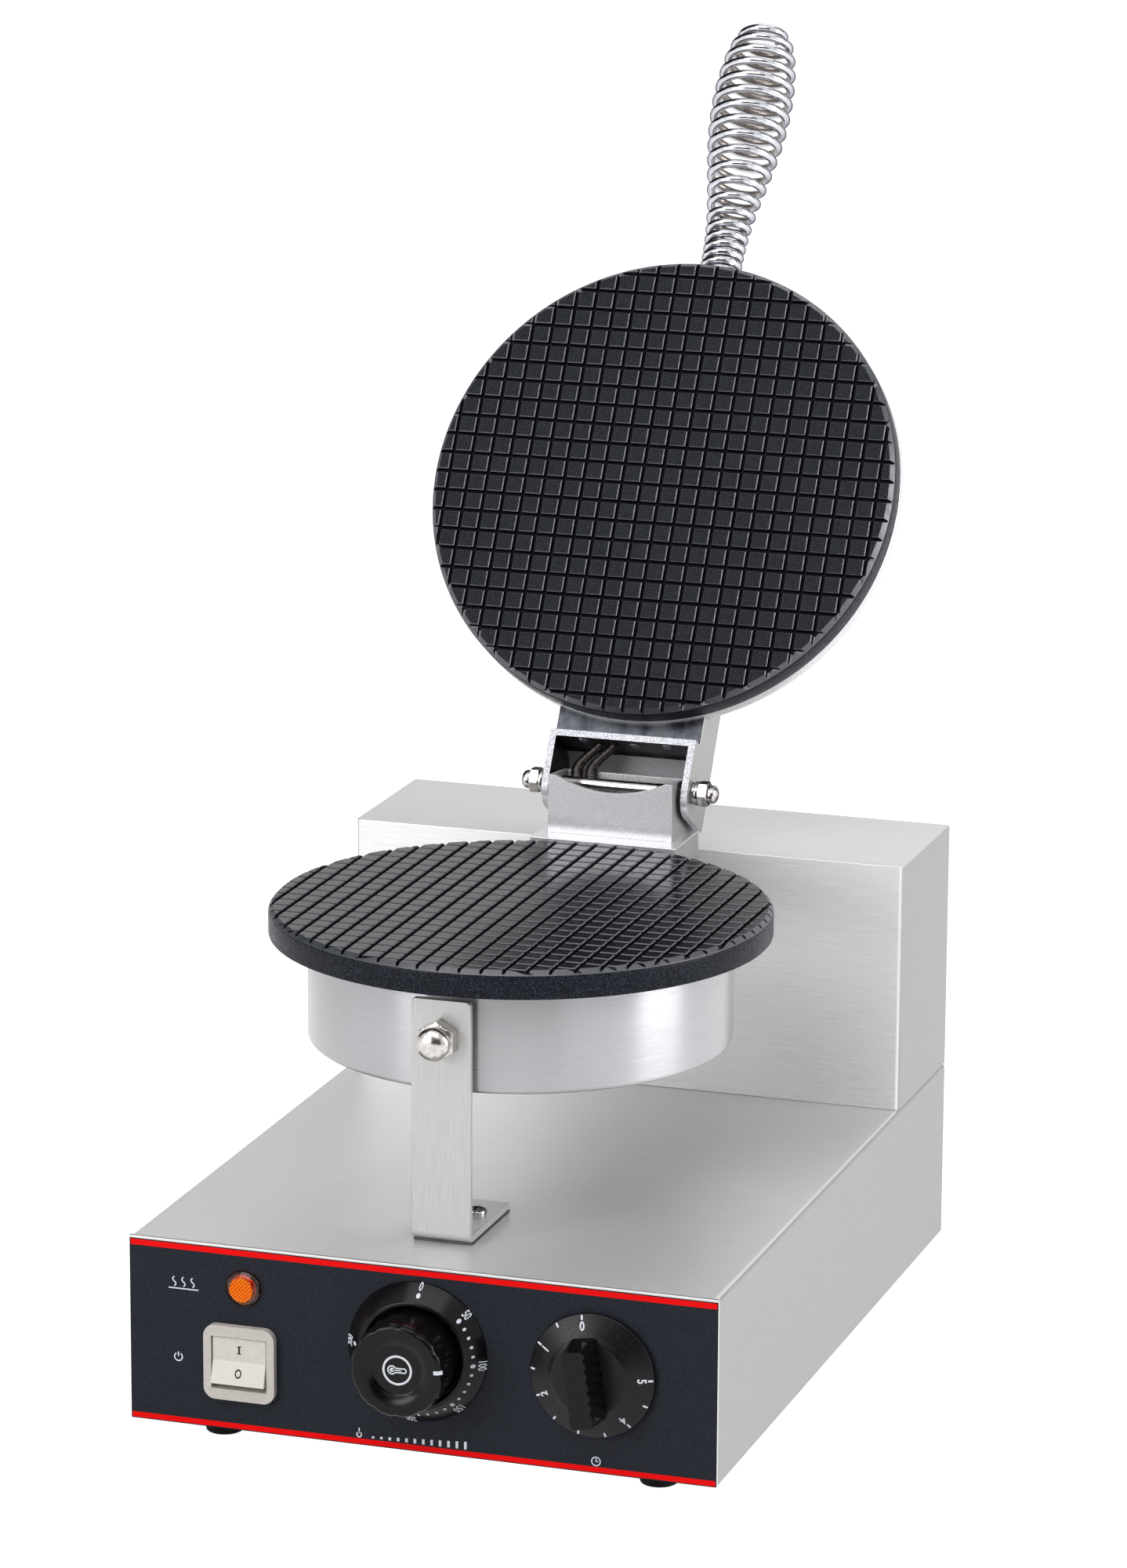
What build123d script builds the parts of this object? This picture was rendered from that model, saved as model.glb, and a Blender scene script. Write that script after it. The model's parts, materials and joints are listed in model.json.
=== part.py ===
from build123d import *
import os
from math import cos, pi, radians, sin, sqrt

# Electric cone baker: a steel base with a control panel, a rear housing that carries the
# hinge, a fixed lower cooking plate and an upper plate on a lid that swings up and back.
# Millimetres. +X to the user's right, +Y to the back, +Z up, the floor at Z = 0, and the
# origin under the middle of the open machine's overall depth.

# ---- driving dimensions -------------------------------------------------------------

# Casing
front_y = -225.1            # front face of the control panel
case_width = 251.0
case_depth = 346.0
case_height = 78.6          # base box, without its feet
rear_box_depth = 77.6
rear_box_height = 109.6
sheet = 1.2                 # stainless sheet of both boxes
bend_radius = 2.4           # outside radius of the folded edges
panel_thickness = 1.5
cover_thickness = 1.2
cover_margin = 0.4          # play of the closing plates inside the folded edges
skirt_rise = 2.0            # the bottom plate sits this far up inside the casing

# Feet
foot_height = 10.0
foot_radius = 9.0
foot_sides = 16
foot_inset_x = 31.5
foot_inset_y = 24.5

# Cooking plates
plate_radius = 105.0
plate_thickness = 12.0
plate_reach = 133.8         # from the hinge axis to the middle of a plate
plate_rise = 9.6            # lower cooking face above the rear housing
groove_pitch = 8.88
groove_step = 3             # every third groove of the real pattern is cut
groove_width = 2.0
groove_depth = 2.0
cone_gap = 2.0              # between the cooking faces when the lid is down

# Heater pans behind the plates
pan_radius = 88.8
pan_depth = 44.6
pan_wall = 1.5
pan_lining_sides = 24       # the hollow inside is lined with flat strips
rim_thickness = 2.8         # thin ring between the upper plate and the lid's saddle

# Hinge
hinge_ahead = 9.0           # hinge axis ahead of the rear housing's front
hinge_rise = 27.4           # hinge axis above the rear housing
open_lean = 30.66           # the open lid leans this far back from upright, degrees
stud_radius = 3.0
running_gap = 0.05          # radial clearance of every turning fit
cheek_thickness = 3.0
lid_bracket_width = 66.2
cheek_front = 8.4           # cheek edge on the cooking side of the hinge axis
cheek_back = 22.3           # cheek edge on the far side of the hinge axis
cheek_tail = 11.2           # cheek beyond the hinge axis
cheek_corner = 10.0
flange_reach = 21.4         # outer face of the end flange from the hinge axis
saddle_wall = 2.5

tray_width = 56.4
tray_front = 14.5           # front wall ahead of the hinge axis
tray_back = 8.8             # rear wall behind the hinge axis
tray_sheet = 2.0
tray_height = 25.6
tray_scoop_width = 50.0
tray_scoop_depth = 6.1

arm_front = 24.5            # raised front face of the arm ahead of the hinge axis
arm_wall = 2.0
arm_drop = 40.0             # depth of the arm below the lower cooking face
arm_play = 0.3              # under the overhanging plate
arm_top_drop = 1.3          # raised top below the lower cooking face

# Hinge hardware
nut_flats = 10.0
nut_hex_height = 7.6        # with the washers under it
nut_dome_radius = 4.0
conduit_radius = 1.6
conduit_x = (-21.5, -15.0)  # where they pass behind the stud
conduit_shift = 9.0         # they start this much further right at the flange
conduit_gap = 0.1           # to the stud
conduit_rise = 3.0          # they leave the upright this far above the hinge axis
conduit_set_back = 1.0      # at the flange, behind the hinge axis as seen along the lid
conduit_steps = 8

# Front support
support_x = -1.5
support_width = 25.3
support_thickness = 3.0
support_gap = 4.3           # strip to pan
support_foot = 50.0
support_top_drop = 16.1     # strip top below the lower cooking face
support_bend = 4.0
support_corner = 2.0
support_pad = 1.0
support_bolt_drop = 32.0    # bolt axis below the lower cooking face
support_bolt_radius = 4.0
support_nut_flats = 14.6
support_nut_hex_height = 7.0
support_nut_dome_radius = 6.9

# Handle
handle_lean = 3.75          # degrees away from the cooking side
handle_depth = 31.6         # handle axis behind the cooking face at the pan's wall
wire_side = 3.4
steps_per_turn = 8
coil_start = 12.0           # first turn from the pan's wall
coil_end = 144.0
neck_radius = 9.4           # outside radius of the coil at the neck
belly_radius = 18.2
tip_radius = 8.6
neck_end = 30.0
belly_at = 107.0
neck_pitch = 4.1
belly_pitch = 7.2
tip_pitch = 4.8
pitch_rise = 32.0           # length over which the turns open up after the neck
pitch_fall = 16.0           # length over which they close up before the tip
handle_stud_radius = 5.4
handle_stud_length = 30.0
handle_nut_flats = 17.0
handle_nut_height = 8.0
handle_seat = 1.0           # the nut is let into the pan's round wall this far

# Controls, from the panel's nearer side and from its lower edge, or its upper one for the lamp
lamp_inset, lamp_drop = 49.8, 17.5
switch_inset, switch_rise = 48.5, 29.2
dial_x, dial_rise = -0.7, 42.8
timer_inset, timer_rise = 51.6, 41.7

lamp_radius = 7.6
lamp_proud = 4.4
lamp_body_radius = 6.0
lamp_body_length = 22.0

switch_width = 30.7
switch_height = 31.7
switch_corner = 5.0
switch_proud = 3.2
sleeve_wall = 1.2
sleeve_length = 12.0
switch_body_length = 14.0
rocker_width = 23.0
rocker_height = 19.5
rocker_rise = 7.9           # ends of the rocker in front of its pivot
rocker_crease = 6.5         # middle of the rocker in front of its pivot
rocker_tail = 1.0
rocker_angle = 8.0          # each way from the middle
rocker_pivot_depth = 4.0    # pivot behind the panel face
rocker_side_play = 0.5
rocker_end_play = 0.4
rocker_pin_radius = 1.5
rocker_pin_length = 1.4
panel_cut_play = 0.2

bezel_radius = 29.6
bezel_top_radius = 22.4
bezel_proud = 7.5
bezel_bore = 21.0
knob_radius = 19.7
knob_gap = 1.2              # knobs stand this far off the panel
knob_proud = 27.0
knob_flutes = 12
knob_flute_radius = 5.0
knob_flute_depth = 0.7
shaft_radius = 3.0
shaft_sides = 8
shaft_seat = 14.0           # shaft length inside a knob
shaft_depth = 8.0           # shaft length inside its switch body
panel_hole_radius = 5.0
thermostat_width = 36.0
thermostat_length = 24.0

timer_radius = 26.1
timer_shoulder_radius = 17.5
timer_shoulder = 7.0
timer_proud = 22.0
timer_grip_width = 12.5
timer_grip_length = 35.0
timer_grip_taper = 4.0
timer_body_width = 38.0
timer_body_length = 26.0

# Rear cover
gland_radius = 9.0
gland_bore = 4.0
gland_proud = 12.0
gland_rise = 30.0
gland_inset = 40.5
vent_length = 40.0
vent_width = 4.0
vent_count = 6
vent_pitch = 9.0

# ---- derived places -----------------------------------------------------------------

case_bottom = foot_height
case_top = case_bottom + case_height
rear_y = front_y + case_depth
rear_box_front = rear_y - rear_box_depth
rear_box_top = case_top + rear_box_height
hinge_y = rear_box_front - hinge_ahead
hinge_z = rear_box_top + hinge_rise
plate_y = hinge_y - plate_reach
plate_top = rear_box_top + plate_rise
plate_bottom = plate_top - plate_thickness
arm_top = plate_top - arm_top_drop
lean = radians(open_lean)
lamp_x = -case_width / 2 + lamp_inset
switch_x = -case_width / 2 + switch_inset
timer_x = case_width / 2 - timer_inset
gland_x = case_width / 2 - gland_inset
rocker_tilt = radians(rocker_angle)
rocker_sweep = rocker_height / 2 * cos(rocker_tilt) + rocker_rise * sin(rocker_tilt)
opening_width = rocker_width + 2 * rocker_side_play
opening_height = 2 * (rocker_sweep + rocker_end_play)
sleeve_width = opening_width + 2 * sleeve_wall
sleeve_height = opening_height + 2 * sleeve_wall
# In the closed lid the upper cooking face lies this far below the hinge axis.
face_offset = hinge_z - plate_top - cone_gap


# ---- frames of reference ------------------------------------------------------------

def facing_front(y, x=0.0, z=0.0):
    """Upright plane that looks to the front: its axes are +X and +Z."""
    return Plane(origin=(x, y, z), x_dir=(1, 0, 0), z_dir=(0, -1, 0))


def facing_right(x):
    """Upright plane that looks to the right: its axes are +Y and +Z."""
    return Plane(origin=(x, 0, 0), x_dir=(0, 1, 0), z_dir=(1, 0, 0))


def turned_about(x, z, y=front_y):
    """Plane for profiles turned about a panel axis: radius along +X, forwards along its Y."""
    return Plane(origin=(x, y, z), x_dir=(1, 0, 0), z_dir=(0, 0, -1))


def panel_axis(x, z):
    return Axis((x, front_y, z), (0, -1, 0))


# The lid's own plane as it stands open: X across, Y away from the hinge axis, and Z
# towards the cooking side.
lid_up = (0, sin(lean), cos(lean))
lid_out = (0, -cos(lean), sin(lean))
lid_plane = Plane(origin=(0, hinge_y, hinge_z), x_dir=(1, 0, 0), z_dir=lid_out)


def lid_facing_right(x):
    """Plane across the lid: its axes run away from the hinge and towards the cooking side."""
    return Plane(origin=(x, hinge_y, hinge_z), x_dir=lid_up, z_dir=(1, 0, 0))


os.makedirs("parts", exist_ok=True)


def save(builder, name):
    builder.part.label = name
    export_step(builder.part, f"parts/{name}.step")


def faceted_tube(stations, corners):
    """Solid of flat facets through the same polygon set up in every station plane."""
    rings = [[plane.from_local_coords((*corner, 0)) for corner in corners] for plane in stations]
    facets = [Face(Wire.make_polygon(rings[0])), Face(Wire.make_polygon(rings[-1]))]
    for ring, following in zip(rings, rings[1:]):
        for index, corner in enumerate(ring):
            last, last_following = ring[index - 1], following[index - 1]
            facets.append(Face(Wire.make_polygon((last, corner, following[index]))))
            facets.append(Face(Wire.make_polygon((last, following[index], last_following))))
    return Solid(Shell(facets))


# ---- casing -------------------------------------------------------------------------

with BuildPart() as base_housing:
    with BuildSketch(facing_front(front_y + panel_thickness)):
        with Locations((0, case_bottom + case_height / 2)):
            Rectangle(case_width, case_height)
    extrude(amount=-(case_depth - panel_thickness))
    side_folds = base_housing.edges().filter_by(Axis.Y).group_by(Axis.Z)[-1]
    fillet(side_folds, bend_radius)
    open_faces = [base_housing.faces().sort_by(Axis.Y)[0], base_housing.faces().sort_by(Axis.Z)[0]]
    offset(amount=-sheet, openings=open_faces)
save(base_housing, "base_housing")

with BuildPart() as bottom_plate:
    with BuildSketch(Plane.XY.offset(case_bottom + skirt_rise)):
        with Locations((0, (front_y + panel_thickness + rear_y - sheet) / 2)):
            Rectangle(
                case_width - 2 * (sheet + cover_margin),
                case_depth - panel_thickness - sheet - 2 * cover_margin,
            )
        with Locations((0, rear_y - rear_box_depth)):
            with GridLocations(0, vent_pitch, 1, vent_count):
                Rectangle(vent_length, vent_width, mode=Mode.SUBTRACT)
    extrude(amount=sheet)
save(bottom_plate, "bottom_plate")

with BuildPart() as rubber_feet:
    with BuildSketch(Plane.XY.offset(case_bottom + skirt_rise)):
        with Locations((0, front_y + case_depth / 2)):
            with GridLocations(case_width - 2 * foot_inset_x, case_depth - 2 * foot_inset_y, 2, 2):
                RegularPolygon(foot_radius, foot_sides)
    extrude(amount=-(case_bottom + skirt_rise))
save(rubber_feet, "rubber_feet")

with BuildPart() as control_panel:
    with BuildSketch(facing_front(front_y)):
        with Locations((0, case_bottom + case_height / 2)):
            Rectangle(case_width, case_height)
        with Locations((lamp_x, case_top - lamp_drop)):
            Circle(lamp_body_radius + panel_cut_play, mode=Mode.SUBTRACT)
        with Locations((dial_x, case_bottom + dial_rise), (timer_x, case_bottom + timer_rise)):
            Circle(panel_hole_radius, mode=Mode.SUBTRACT)
        with Locations((switch_x, case_bottom + switch_rise)):
            Rectangle(
                sleeve_width + 2 * panel_cut_play,
                sleeve_height + 2 * panel_cut_play,
                mode=Mode.SUBTRACT,
            )
    extrude(amount=-panel_thickness)
save(control_panel, "control_panel")

with BuildPart() as rear_housing:
    with BuildSketch(facing_front(rear_box_front)):
        with Locations((0, case_top + rear_box_height / 2)):
            Rectangle(case_width, rear_box_height)
    extrude(amount=-rear_box_depth)
    front_folds = rear_housing.faces().sort_by(Axis.Y)[0].edges().filter_by(Axis.Z)
    fillet(front_folds, bend_radius)
    open_faces = [rear_housing.faces().sort_by(Axis.Y)[-1], rear_housing.faces().sort_by(Axis.Z)[0]]
    offset(amount=-sheet, openings=open_faces)
save(rear_housing, "rear_housing")

with BuildPart() as rear_cover:
    with BuildSketch(facing_front(rear_y - cover_thickness)):
        with Locations((0, case_top + rear_box_height / 2)):
            Rectangle(
                case_width - 2 * (sheet + cover_margin),
                rear_box_height - 2 * (sheet + cover_margin),
            )
        with Locations((gland_x, case_top + gland_rise)):
            Circle(gland_radius, mode=Mode.SUBTRACT)
    extrude(amount=-cover_thickness)
save(rear_cover, "rear_cover")

with BuildPart() as cable_gland:
    with BuildSketch(facing_front(rear_y - cover_thickness)):
        with Locations((gland_x, case_top + gland_rise)):
            RegularPolygon(gland_radius, 6)
            Circle(gland_bore, mode=Mode.SUBTRACT)
    extrude(amount=-(cover_thickness + gland_proud))
save(cable_gland, "cable_gland")


# ---- cooking plates and their pans --------------------------------------------------

def cooking_plate(face):
    """Round plate whose cooking side lies in the given plane, with a square grid of V grooves."""
    grooves = int(plate_radius / (groove_pitch * groove_step))
    groove_spacing = groove_pitch * groove_step
    groove_section = ((-groove_width / 2, 0), (0, -groove_depth), (groove_width / 2, 0))
    with BuildPart() as plate:
        with BuildSketch(face):
            Circle(plate_radius)
        extrude(amount=-plate_thickness)
        for across, along in ((face.x_dir, -face.y_dir), (face.y_dir, face.x_dir)):
            end_on = Plane(face.origin, x_dir=across, z_dir=along)
            with BuildSketch(end_on.offset(-plate_radius)):
                with GridLocations(groove_spacing, 0, 2 * grooves + 1, 1):
                    Polygon(*groove_section, align=None)
            extrude(amount=2 * plate_radius, mode=Mode.SUBTRACT)
    return plate


lower_face = Plane.XY.offset(plate_top).move(Location((0, plate_y, 0)))
upper_face = Plane(
    lid_plane.origin + lid_plane.y_dir * plate_reach + lid_plane.z_dir * face_offset,
    x_dir=(1, 0, 0),
    z_dir=lid_out,
)
lower_plate = cooking_plate(lower_face)
save(lower_plate, "lower_plate")
upper_plate = cooking_plate(upper_face)
save(upper_plate, "upper_plate")


def heater_pan(mouth):
    """Hollow round pan behind the plate that lies on the given plane."""
    with BuildPart() as pan:
        with BuildSketch(mouth):
            Circle(pan_radius)
        extrude(amount=-pan_depth)
        with BuildSketch(mouth):
            RegularPolygon(pan_radius - pan_wall, pan_lining_sides)
        extrude(amount=-(pan_depth - pan_wall), mode=Mode.SUBTRACT)
    return pan


save(heater_pan(lower_face.offset(-plate_thickness)), "lower_pan")
save(heater_pan(upper_face.offset(-plate_thickness)), "upper_pan")


# ---- arm between the rear housing and the lower pan ---------------------------------

arm_low = plate_top - arm_drop
arm_shelf = plate_bottom - arm_play
arm_face = hinge_y - arm_front

with BuildPart() as hinge_arm:
    with BuildSketch(facing_right(-lid_bracket_width / 2)):
        with BuildLine():
            Polyline(
                (plate_y, arm_low),
                (rear_box_front, arm_low),
                (rear_box_front, arm_top),
                (arm_face, arm_top),
                (arm_face, arm_shelf),
                (plate_y, arm_shelf),
                close=True,
            )
        make_face()
    extrude(amount=lid_bracket_width)
    with BuildSketch(facing_right(-lid_bracket_width / 2 + arm_wall)):
        with BuildLine():
            Polyline(
                (plate_y, arm_low + arm_wall),
                (rear_box_front, arm_low + arm_wall),
                (rear_box_front, arm_top - arm_wall),
                (arm_face + arm_wall, arm_top - arm_wall),
                (arm_face + arm_wall, arm_shelf - arm_wall),
                (plate_y, arm_shelf - arm_wall),
                close=True,
            )
        make_face()
    extrude(amount=lid_bracket_width - 2 * arm_wall, mode=Mode.SUBTRACT)
    with BuildSketch(lower_face.offset(-plate_thickness)):
        Circle(pan_radius)
    extrude(amount=-pan_depth, mode=Mode.SUBTRACT)
save(hinge_arm, "hinge_arm")


# ---- hinge --------------------------------------------------------------------------

tray_left = -tray_width / 2
tray_face = hinge_y - tray_front
tray_depth = tray_front + tray_back
scoop_radius = (tray_scoop_width**2 / 4 + tray_scoop_depth**2) / (2 * tray_scoop_depth)

with BuildPart() as hinge_tray:
    with BuildSketch(facing_right(tray_left)):
        with Locations((tray_face + tray_depth / 2, arm_top + tray_height / 2)):
            Rectangle(tray_depth, tray_height)
    extrude(amount=tray_width)
    offset(amount=-tray_sheet, openings=[hinge_tray.faces().sort_by(Axis.Z)[-1]])
    with BuildSketch(facing_front(tray_face)):
        with Locations((0, arm_top + tray_height - tray_scoop_depth + scoop_radius)):
            Circle(scoop_radius)
    extrude(amount=-tray_sheet, mode=Mode.SUBTRACT)
    with BuildSketch(facing_right(tray_left)):
        with Locations((hinge_y, hinge_z)):
            Circle(stud_radius + running_gap)
    extrude(amount=tray_width, mode=Mode.SUBTRACT)
save(hinge_tray, "hinge_tray")

cheek_inner = lid_bracket_width / 2 - cheek_thickness
flange_back = flange_reach - cheek_thickness


with BuildPart() as lid_bracket:
    with BuildSketch(lid_facing_right(-lid_bracket_width / 2)):
        Polygon(
            (-cheek_tail, -cheek_back),
            (flange_reach, -cheek_back),
            (flange_reach, cheek_front),
            (-cheek_tail, cheek_front),
            align=None,
        )
    extrude(amount=lid_bracket_width)
    nose = lid_facing_right(0).from_local_coords((-cheek_tail, cheek_front, 0))
    fillet(lid_bracket.edges().filter_by(Axis.X).sort_by_distance(nose)[0], cheek_corner)
    with BuildSketch(lid_facing_right(-cheek_inner)):
        Polygon(
            (-cheek_tail, -cheek_back + cheek_thickness),
            (flange_back, -cheek_back + cheek_thickness),
            (flange_back, cheek_front),
            (-cheek_tail, cheek_front),
            align=None,
        )
    extrude(amount=2 * cheek_inner, mode=Mode.SUBTRACT)
    with BuildSketch(lid_facing_right(-lid_bracket_width / 2)):
        Circle(stud_radius)
    extrude(amount=lid_bracket_width, mode=Mode.SUBTRACT)
save(lid_bracket, "lid_bracket")

pan_mouth = face_offset - plate_thickness
saddle_front = pan_mouth - rim_thickness
saddle_height = saddle_front + cheek_back

with BuildPart() as lid_saddle:
    with BuildSketch(lid_plane.offset(saddle_front)):
        with Locations((0, flange_reach)):
            Rectangle(lid_bracket_width, plate_reach - flange_reach, align=(Align.CENTER, Align.MIN))
    extrude(amount=-saddle_height)
    with BuildSketch(lid_plane.offset(saddle_front - saddle_wall)):
        with Locations((0, flange_reach)):
            Rectangle(
                lid_bracket_width - 2 * cheek_thickness,
                plate_reach - flange_reach,
                align=(Align.CENTER, Align.MIN),
            )
    extrude(amount=-(saddle_height - 2 * saddle_wall), mode=Mode.SUBTRACT)
    with BuildSketch(upper_face.offset(-plate_thickness - rim_thickness)):
        Circle(pan_radius)
    extrude(amount=-pan_depth, mode=Mode.SUBTRACT)
save(lid_saddle, "lid_saddle")

cheek_face = lid_bracket_width / 2
with BuildPart() as hinge_stud:
    with BuildSketch(facing_right(-cheek_face)):
        with Locations((hinge_y, hinge_z)):
            Circle(stud_radius)
    extrude(amount=lid_bracket_width)
save(hinge_stud, "hinge_stud")


def acorn_nut(seat, flats, hex_height, dome_radius):
    """Domed nut that stands on the given plane and covers the bolt's end."""
    with BuildPart() as nut:
        with BuildSketch(seat):
            RegularPolygon(flats / 2, 6, major_radius=False)
        extrude(amount=hex_height)
        with BuildSketch(seat.offset(hex_height)):
            Circle(dome_radius)
        extrude(amount=dome_radius)
    return nut.part


with BuildPart() as hinge_nuts:
    for side in (-1, 1):
        cheek = Plane(origin=(side * cheek_face, hinge_y, hinge_z), x_dir=(0, 1, 0), z_dir=(side, 0, 0))
        add(acorn_nut(cheek, nut_flats, nut_hex_height, nut_dome_radius))
save(hinge_nuts, "hinge_nuts")

conduit_y = hinge_y + stud_radius + conduit_gap + conduit_radius
conduit_foot = arm_top + tray_sheet
conduit_head = lid_facing_right(0).from_local_coords((flange_back, -conduit_set_back, 0))
conduit_corners = [
    (conduit_radius * cos(radians(angle)), conduit_radius * sin(radians(angle)))
    for angle in range(0, 360, 60)
]
with BuildPart() as conduits:
    for low_x in conduit_x:
        route = Spline(
            (low_x, conduit_y, conduit_foot),
            (low_x, conduit_y, hinge_z + conduit_rise),
            (low_x + conduit_shift, conduit_head.Y, conduit_head.Z),
            tangents=((0, 0, 1), (0, 0, 1), lid_up),
        )
        stations = [
            Plane(route @ (share / conduit_steps), x_dir=(1, 0, 0), z_dir=route % (share / conduit_steps))
            for share in range(conduit_steps + 1)
        ]
        add(faceted_tube(stations, conduit_corners))
save(conduits, "conduits")


# ---- front support of the lower pan -------------------------------------------------

strip_back = plate_y - pan_radius - support_gap
strip_face = strip_back - support_thickness
strip_top = plate_top - support_top_drop
foot_under = case_top + support_pad
support_bolt_z = plate_top - support_bolt_drop
support_seat = pan_radius - sqrt(pan_radius**2 - (abs(support_x) + support_nut_flats) ** 2)

with BuildPart() as support_pad_plate:
    with BuildSketch(Plane.XY.offset(case_top)):
        with Locations((support_x, strip_back + (support_foot - support_thickness) / 2)):
            Rectangle(support_width, support_foot - support_thickness)
    extrude(amount=support_pad)
save(support_pad_plate, "support_pad")

with BuildPart() as support_strip:
    with BuildSketch(facing_right(support_x - support_width / 2)):
        with BuildLine():
            Polyline(
                (strip_face, foot_under),
                (strip_face + support_foot, foot_under),
                (strip_face + support_foot, foot_under + support_thickness),
                (strip_back, foot_under + support_thickness),
                (strip_back, strip_top),
                (strip_face, strip_top),
                close=True,
            )
        make_face()
    extrude(amount=support_width)
    heel = support_strip.edges().filter_by(Axis.X).sort_by_distance((support_x, strip_face, foot_under))[0]
    fillet(heel, support_bend)
    fillet(support_strip.edges().filter_by(Axis.Y).group_by(Axis.Z)[-1], support_corner)
    with BuildSketch(facing_front(strip_face)):
        with Locations((support_x, support_bolt_z)):
            Circle(support_bolt_radius)
    extrude(amount=-support_thickness, mode=Mode.SUBTRACT)
save(support_strip, "support_strip")

with BuildPart() as support_bolt:
    with BuildSketch(facing_front(strip_back)):
        with Locations((support_x, support_bolt_z)):
            RegularPolygon(support_nut_flats / 2, 6, major_radius=False)
    extrude(amount=-support_gap - support_seat)
    with BuildSketch(facing_front(strip_face)):
        with Locations((support_x, support_bolt_z)):
            Circle(support_bolt_radius)
    extrude(amount=-support_thickness)
    with BuildSketch(lower_face.offset(-plate_thickness)):
        Circle(pan_radius)
    extrude(amount=-pan_depth, mode=Mode.SUBTRACT)
save(support_bolt, "support_bolt")

support_nut_seat = facing_front(strip_face, support_x, support_bolt_z)
support_nut = acorn_nut(
    support_nut_seat,
    support_nut_flats,
    support_nut_hex_height,
    support_nut_dome_radius,
)
support_nut.label = "support_nut"
export_step(support_nut, "parts/support_nut.step")


# ---- handle -------------------------------------------------------------------------

tilt = radians(handle_lean)
handle_dir = lid_plane.y_dir * cos(tilt) - lid_plane.z_dir * sin(tilt)
handle_root = (
    lid_plane.origin
    + lid_plane.y_dir * (plate_reach + pan_radius)
    + lid_plane.z_dir * (face_offset - handle_depth)
)
handle_base = Plane(handle_root, x_dir=(1, 0, 0), z_dir=handle_dir)


def eased(share):
    """Runs from 0 to 1 with level ends."""
    return (1 - cos(pi * min(max(share, 0), 1))) / 2


def coil_radius(run):
    """Outside radius of the spring at a distance from the pan's wall."""
    if run < belly_at:
        return neck_radius + (belly_radius - neck_radius) * eased((run - neck_end) / (belly_at - neck_end))
    share = (run - belly_at) / (coil_end - belly_at)
    return tip_radius + (belly_radius - tip_radius) * sqrt(max(1 - share**2, 0))


def coil_pitch(run):
    """Rise of one turn of the spring at a distance from the pan's wall."""
    opened = eased((run - neck_end) / pitch_rise)
    closed = eased((run - coil_end + pitch_fall) / pitch_fall)
    return neck_pitch + (belly_pitch - neck_pitch) * opened + (tip_pitch - belly_pitch) * closed


def coil_centres():
    """Points along the spring's wire, from the neck to the tip."""
    run, turn = coil_start, 0.0
    while run < coil_end:
        reach = coil_radius(run) - wire_side / 2
        yield handle_base.from_local_coords((reach * cos(turn), reach * sin(turn), run))
        run += coil_pitch(run) / steps_per_turn
        turn += 2 * pi / steps_per_turn


half_wire = wire_side / 2
wire_corners = (
    (half_wire, half_wire),
    (-half_wire, half_wire),
    (-half_wire, -half_wire),
    (half_wire, -half_wire),
)
wire = list(coil_centres())
wire_planes = [
    Plane(centre, x_dir=handle_dir, z_dir=ahead - behind)
    for behind, centre, ahead in zip(wire, wire[1:], wire[2:])
]
with BuildPart() as handle_spring:
    add(faceted_tube(wire_planes, wire_corners))
save(handle_spring, "handle_spring")

with BuildPart() as handle_stud:
    with BuildSketch(handle_base.offset(-handle_seat)):
        RegularPolygon(handle_nut_flats / 2, 6, major_radius=False)
    extrude(amount=handle_nut_height + handle_seat)
    with BuildSketch(handle_base):
        Circle(handle_stud_radius)
    extrude(amount=handle_stud_length)
    with BuildSketch(upper_face.offset(-plate_thickness)):
        Circle(pan_radius)
    extrude(amount=-pan_depth, mode=Mode.SUBTRACT)
save(handle_stud, "handle_stud")


# ---- controls -----------------------------------------------------------------------

lamp_z = case_top - lamp_drop
switch_z = case_bottom + switch_rise
dial_z = case_bottom + dial_rise
timer_z = case_bottom + timer_rise
panel_back = front_y + panel_thickness

with BuildPart() as lamp_lens:
    with BuildSketch(facing_front(front_y, lamp_x, lamp_z)):
        Circle(lamp_radius)
    extrude(amount=lamp_proud)
save(lamp_lens, "lamp_lens")

with BuildPart() as lamp_body:
    with BuildSketch(facing_front(front_y, lamp_x, lamp_z)):
        RegularPolygon(lamp_body_radius, 6)
    extrude(amount=-lamp_body_length)
save(lamp_body, "lamp_body")

rocker_pivot_y = front_y + rocker_pivot_depth

with BuildPart() as switch_frame:
    with BuildSketch(facing_front(front_y, switch_x, switch_z)):
        RectangleRounded(switch_width, switch_height, switch_corner)
    extrude(amount=switch_proud)
    with BuildSketch(facing_front(front_y, switch_x, switch_z)):
        Rectangle(sleeve_width, sleeve_height)
    extrude(amount=-sleeve_length)
    with BuildSketch(facing_front(front_y - switch_proud, switch_x, switch_z)):
        Rectangle(opening_width, opening_height)
    extrude(amount=-(switch_proud + sleeve_length), mode=Mode.SUBTRACT)
    with BuildSketch(facing_right(switch_x - sleeve_width / 2)):
        with Locations((rocker_pivot_y, switch_z)):
            Circle(rocker_pin_radius + running_gap)
    extrude(amount=sleeve_width, mode=Mode.SUBTRACT)
save(switch_frame, "switch_frame")

with BuildPart() as switch_body:
    with BuildSketch(facing_front(front_y + sleeve_length, switch_x, switch_z)):
        Rectangle(sleeve_width, sleeve_height)
    extrude(amount=-switch_body_length)
save(switch_body, "switch_body")

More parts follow.
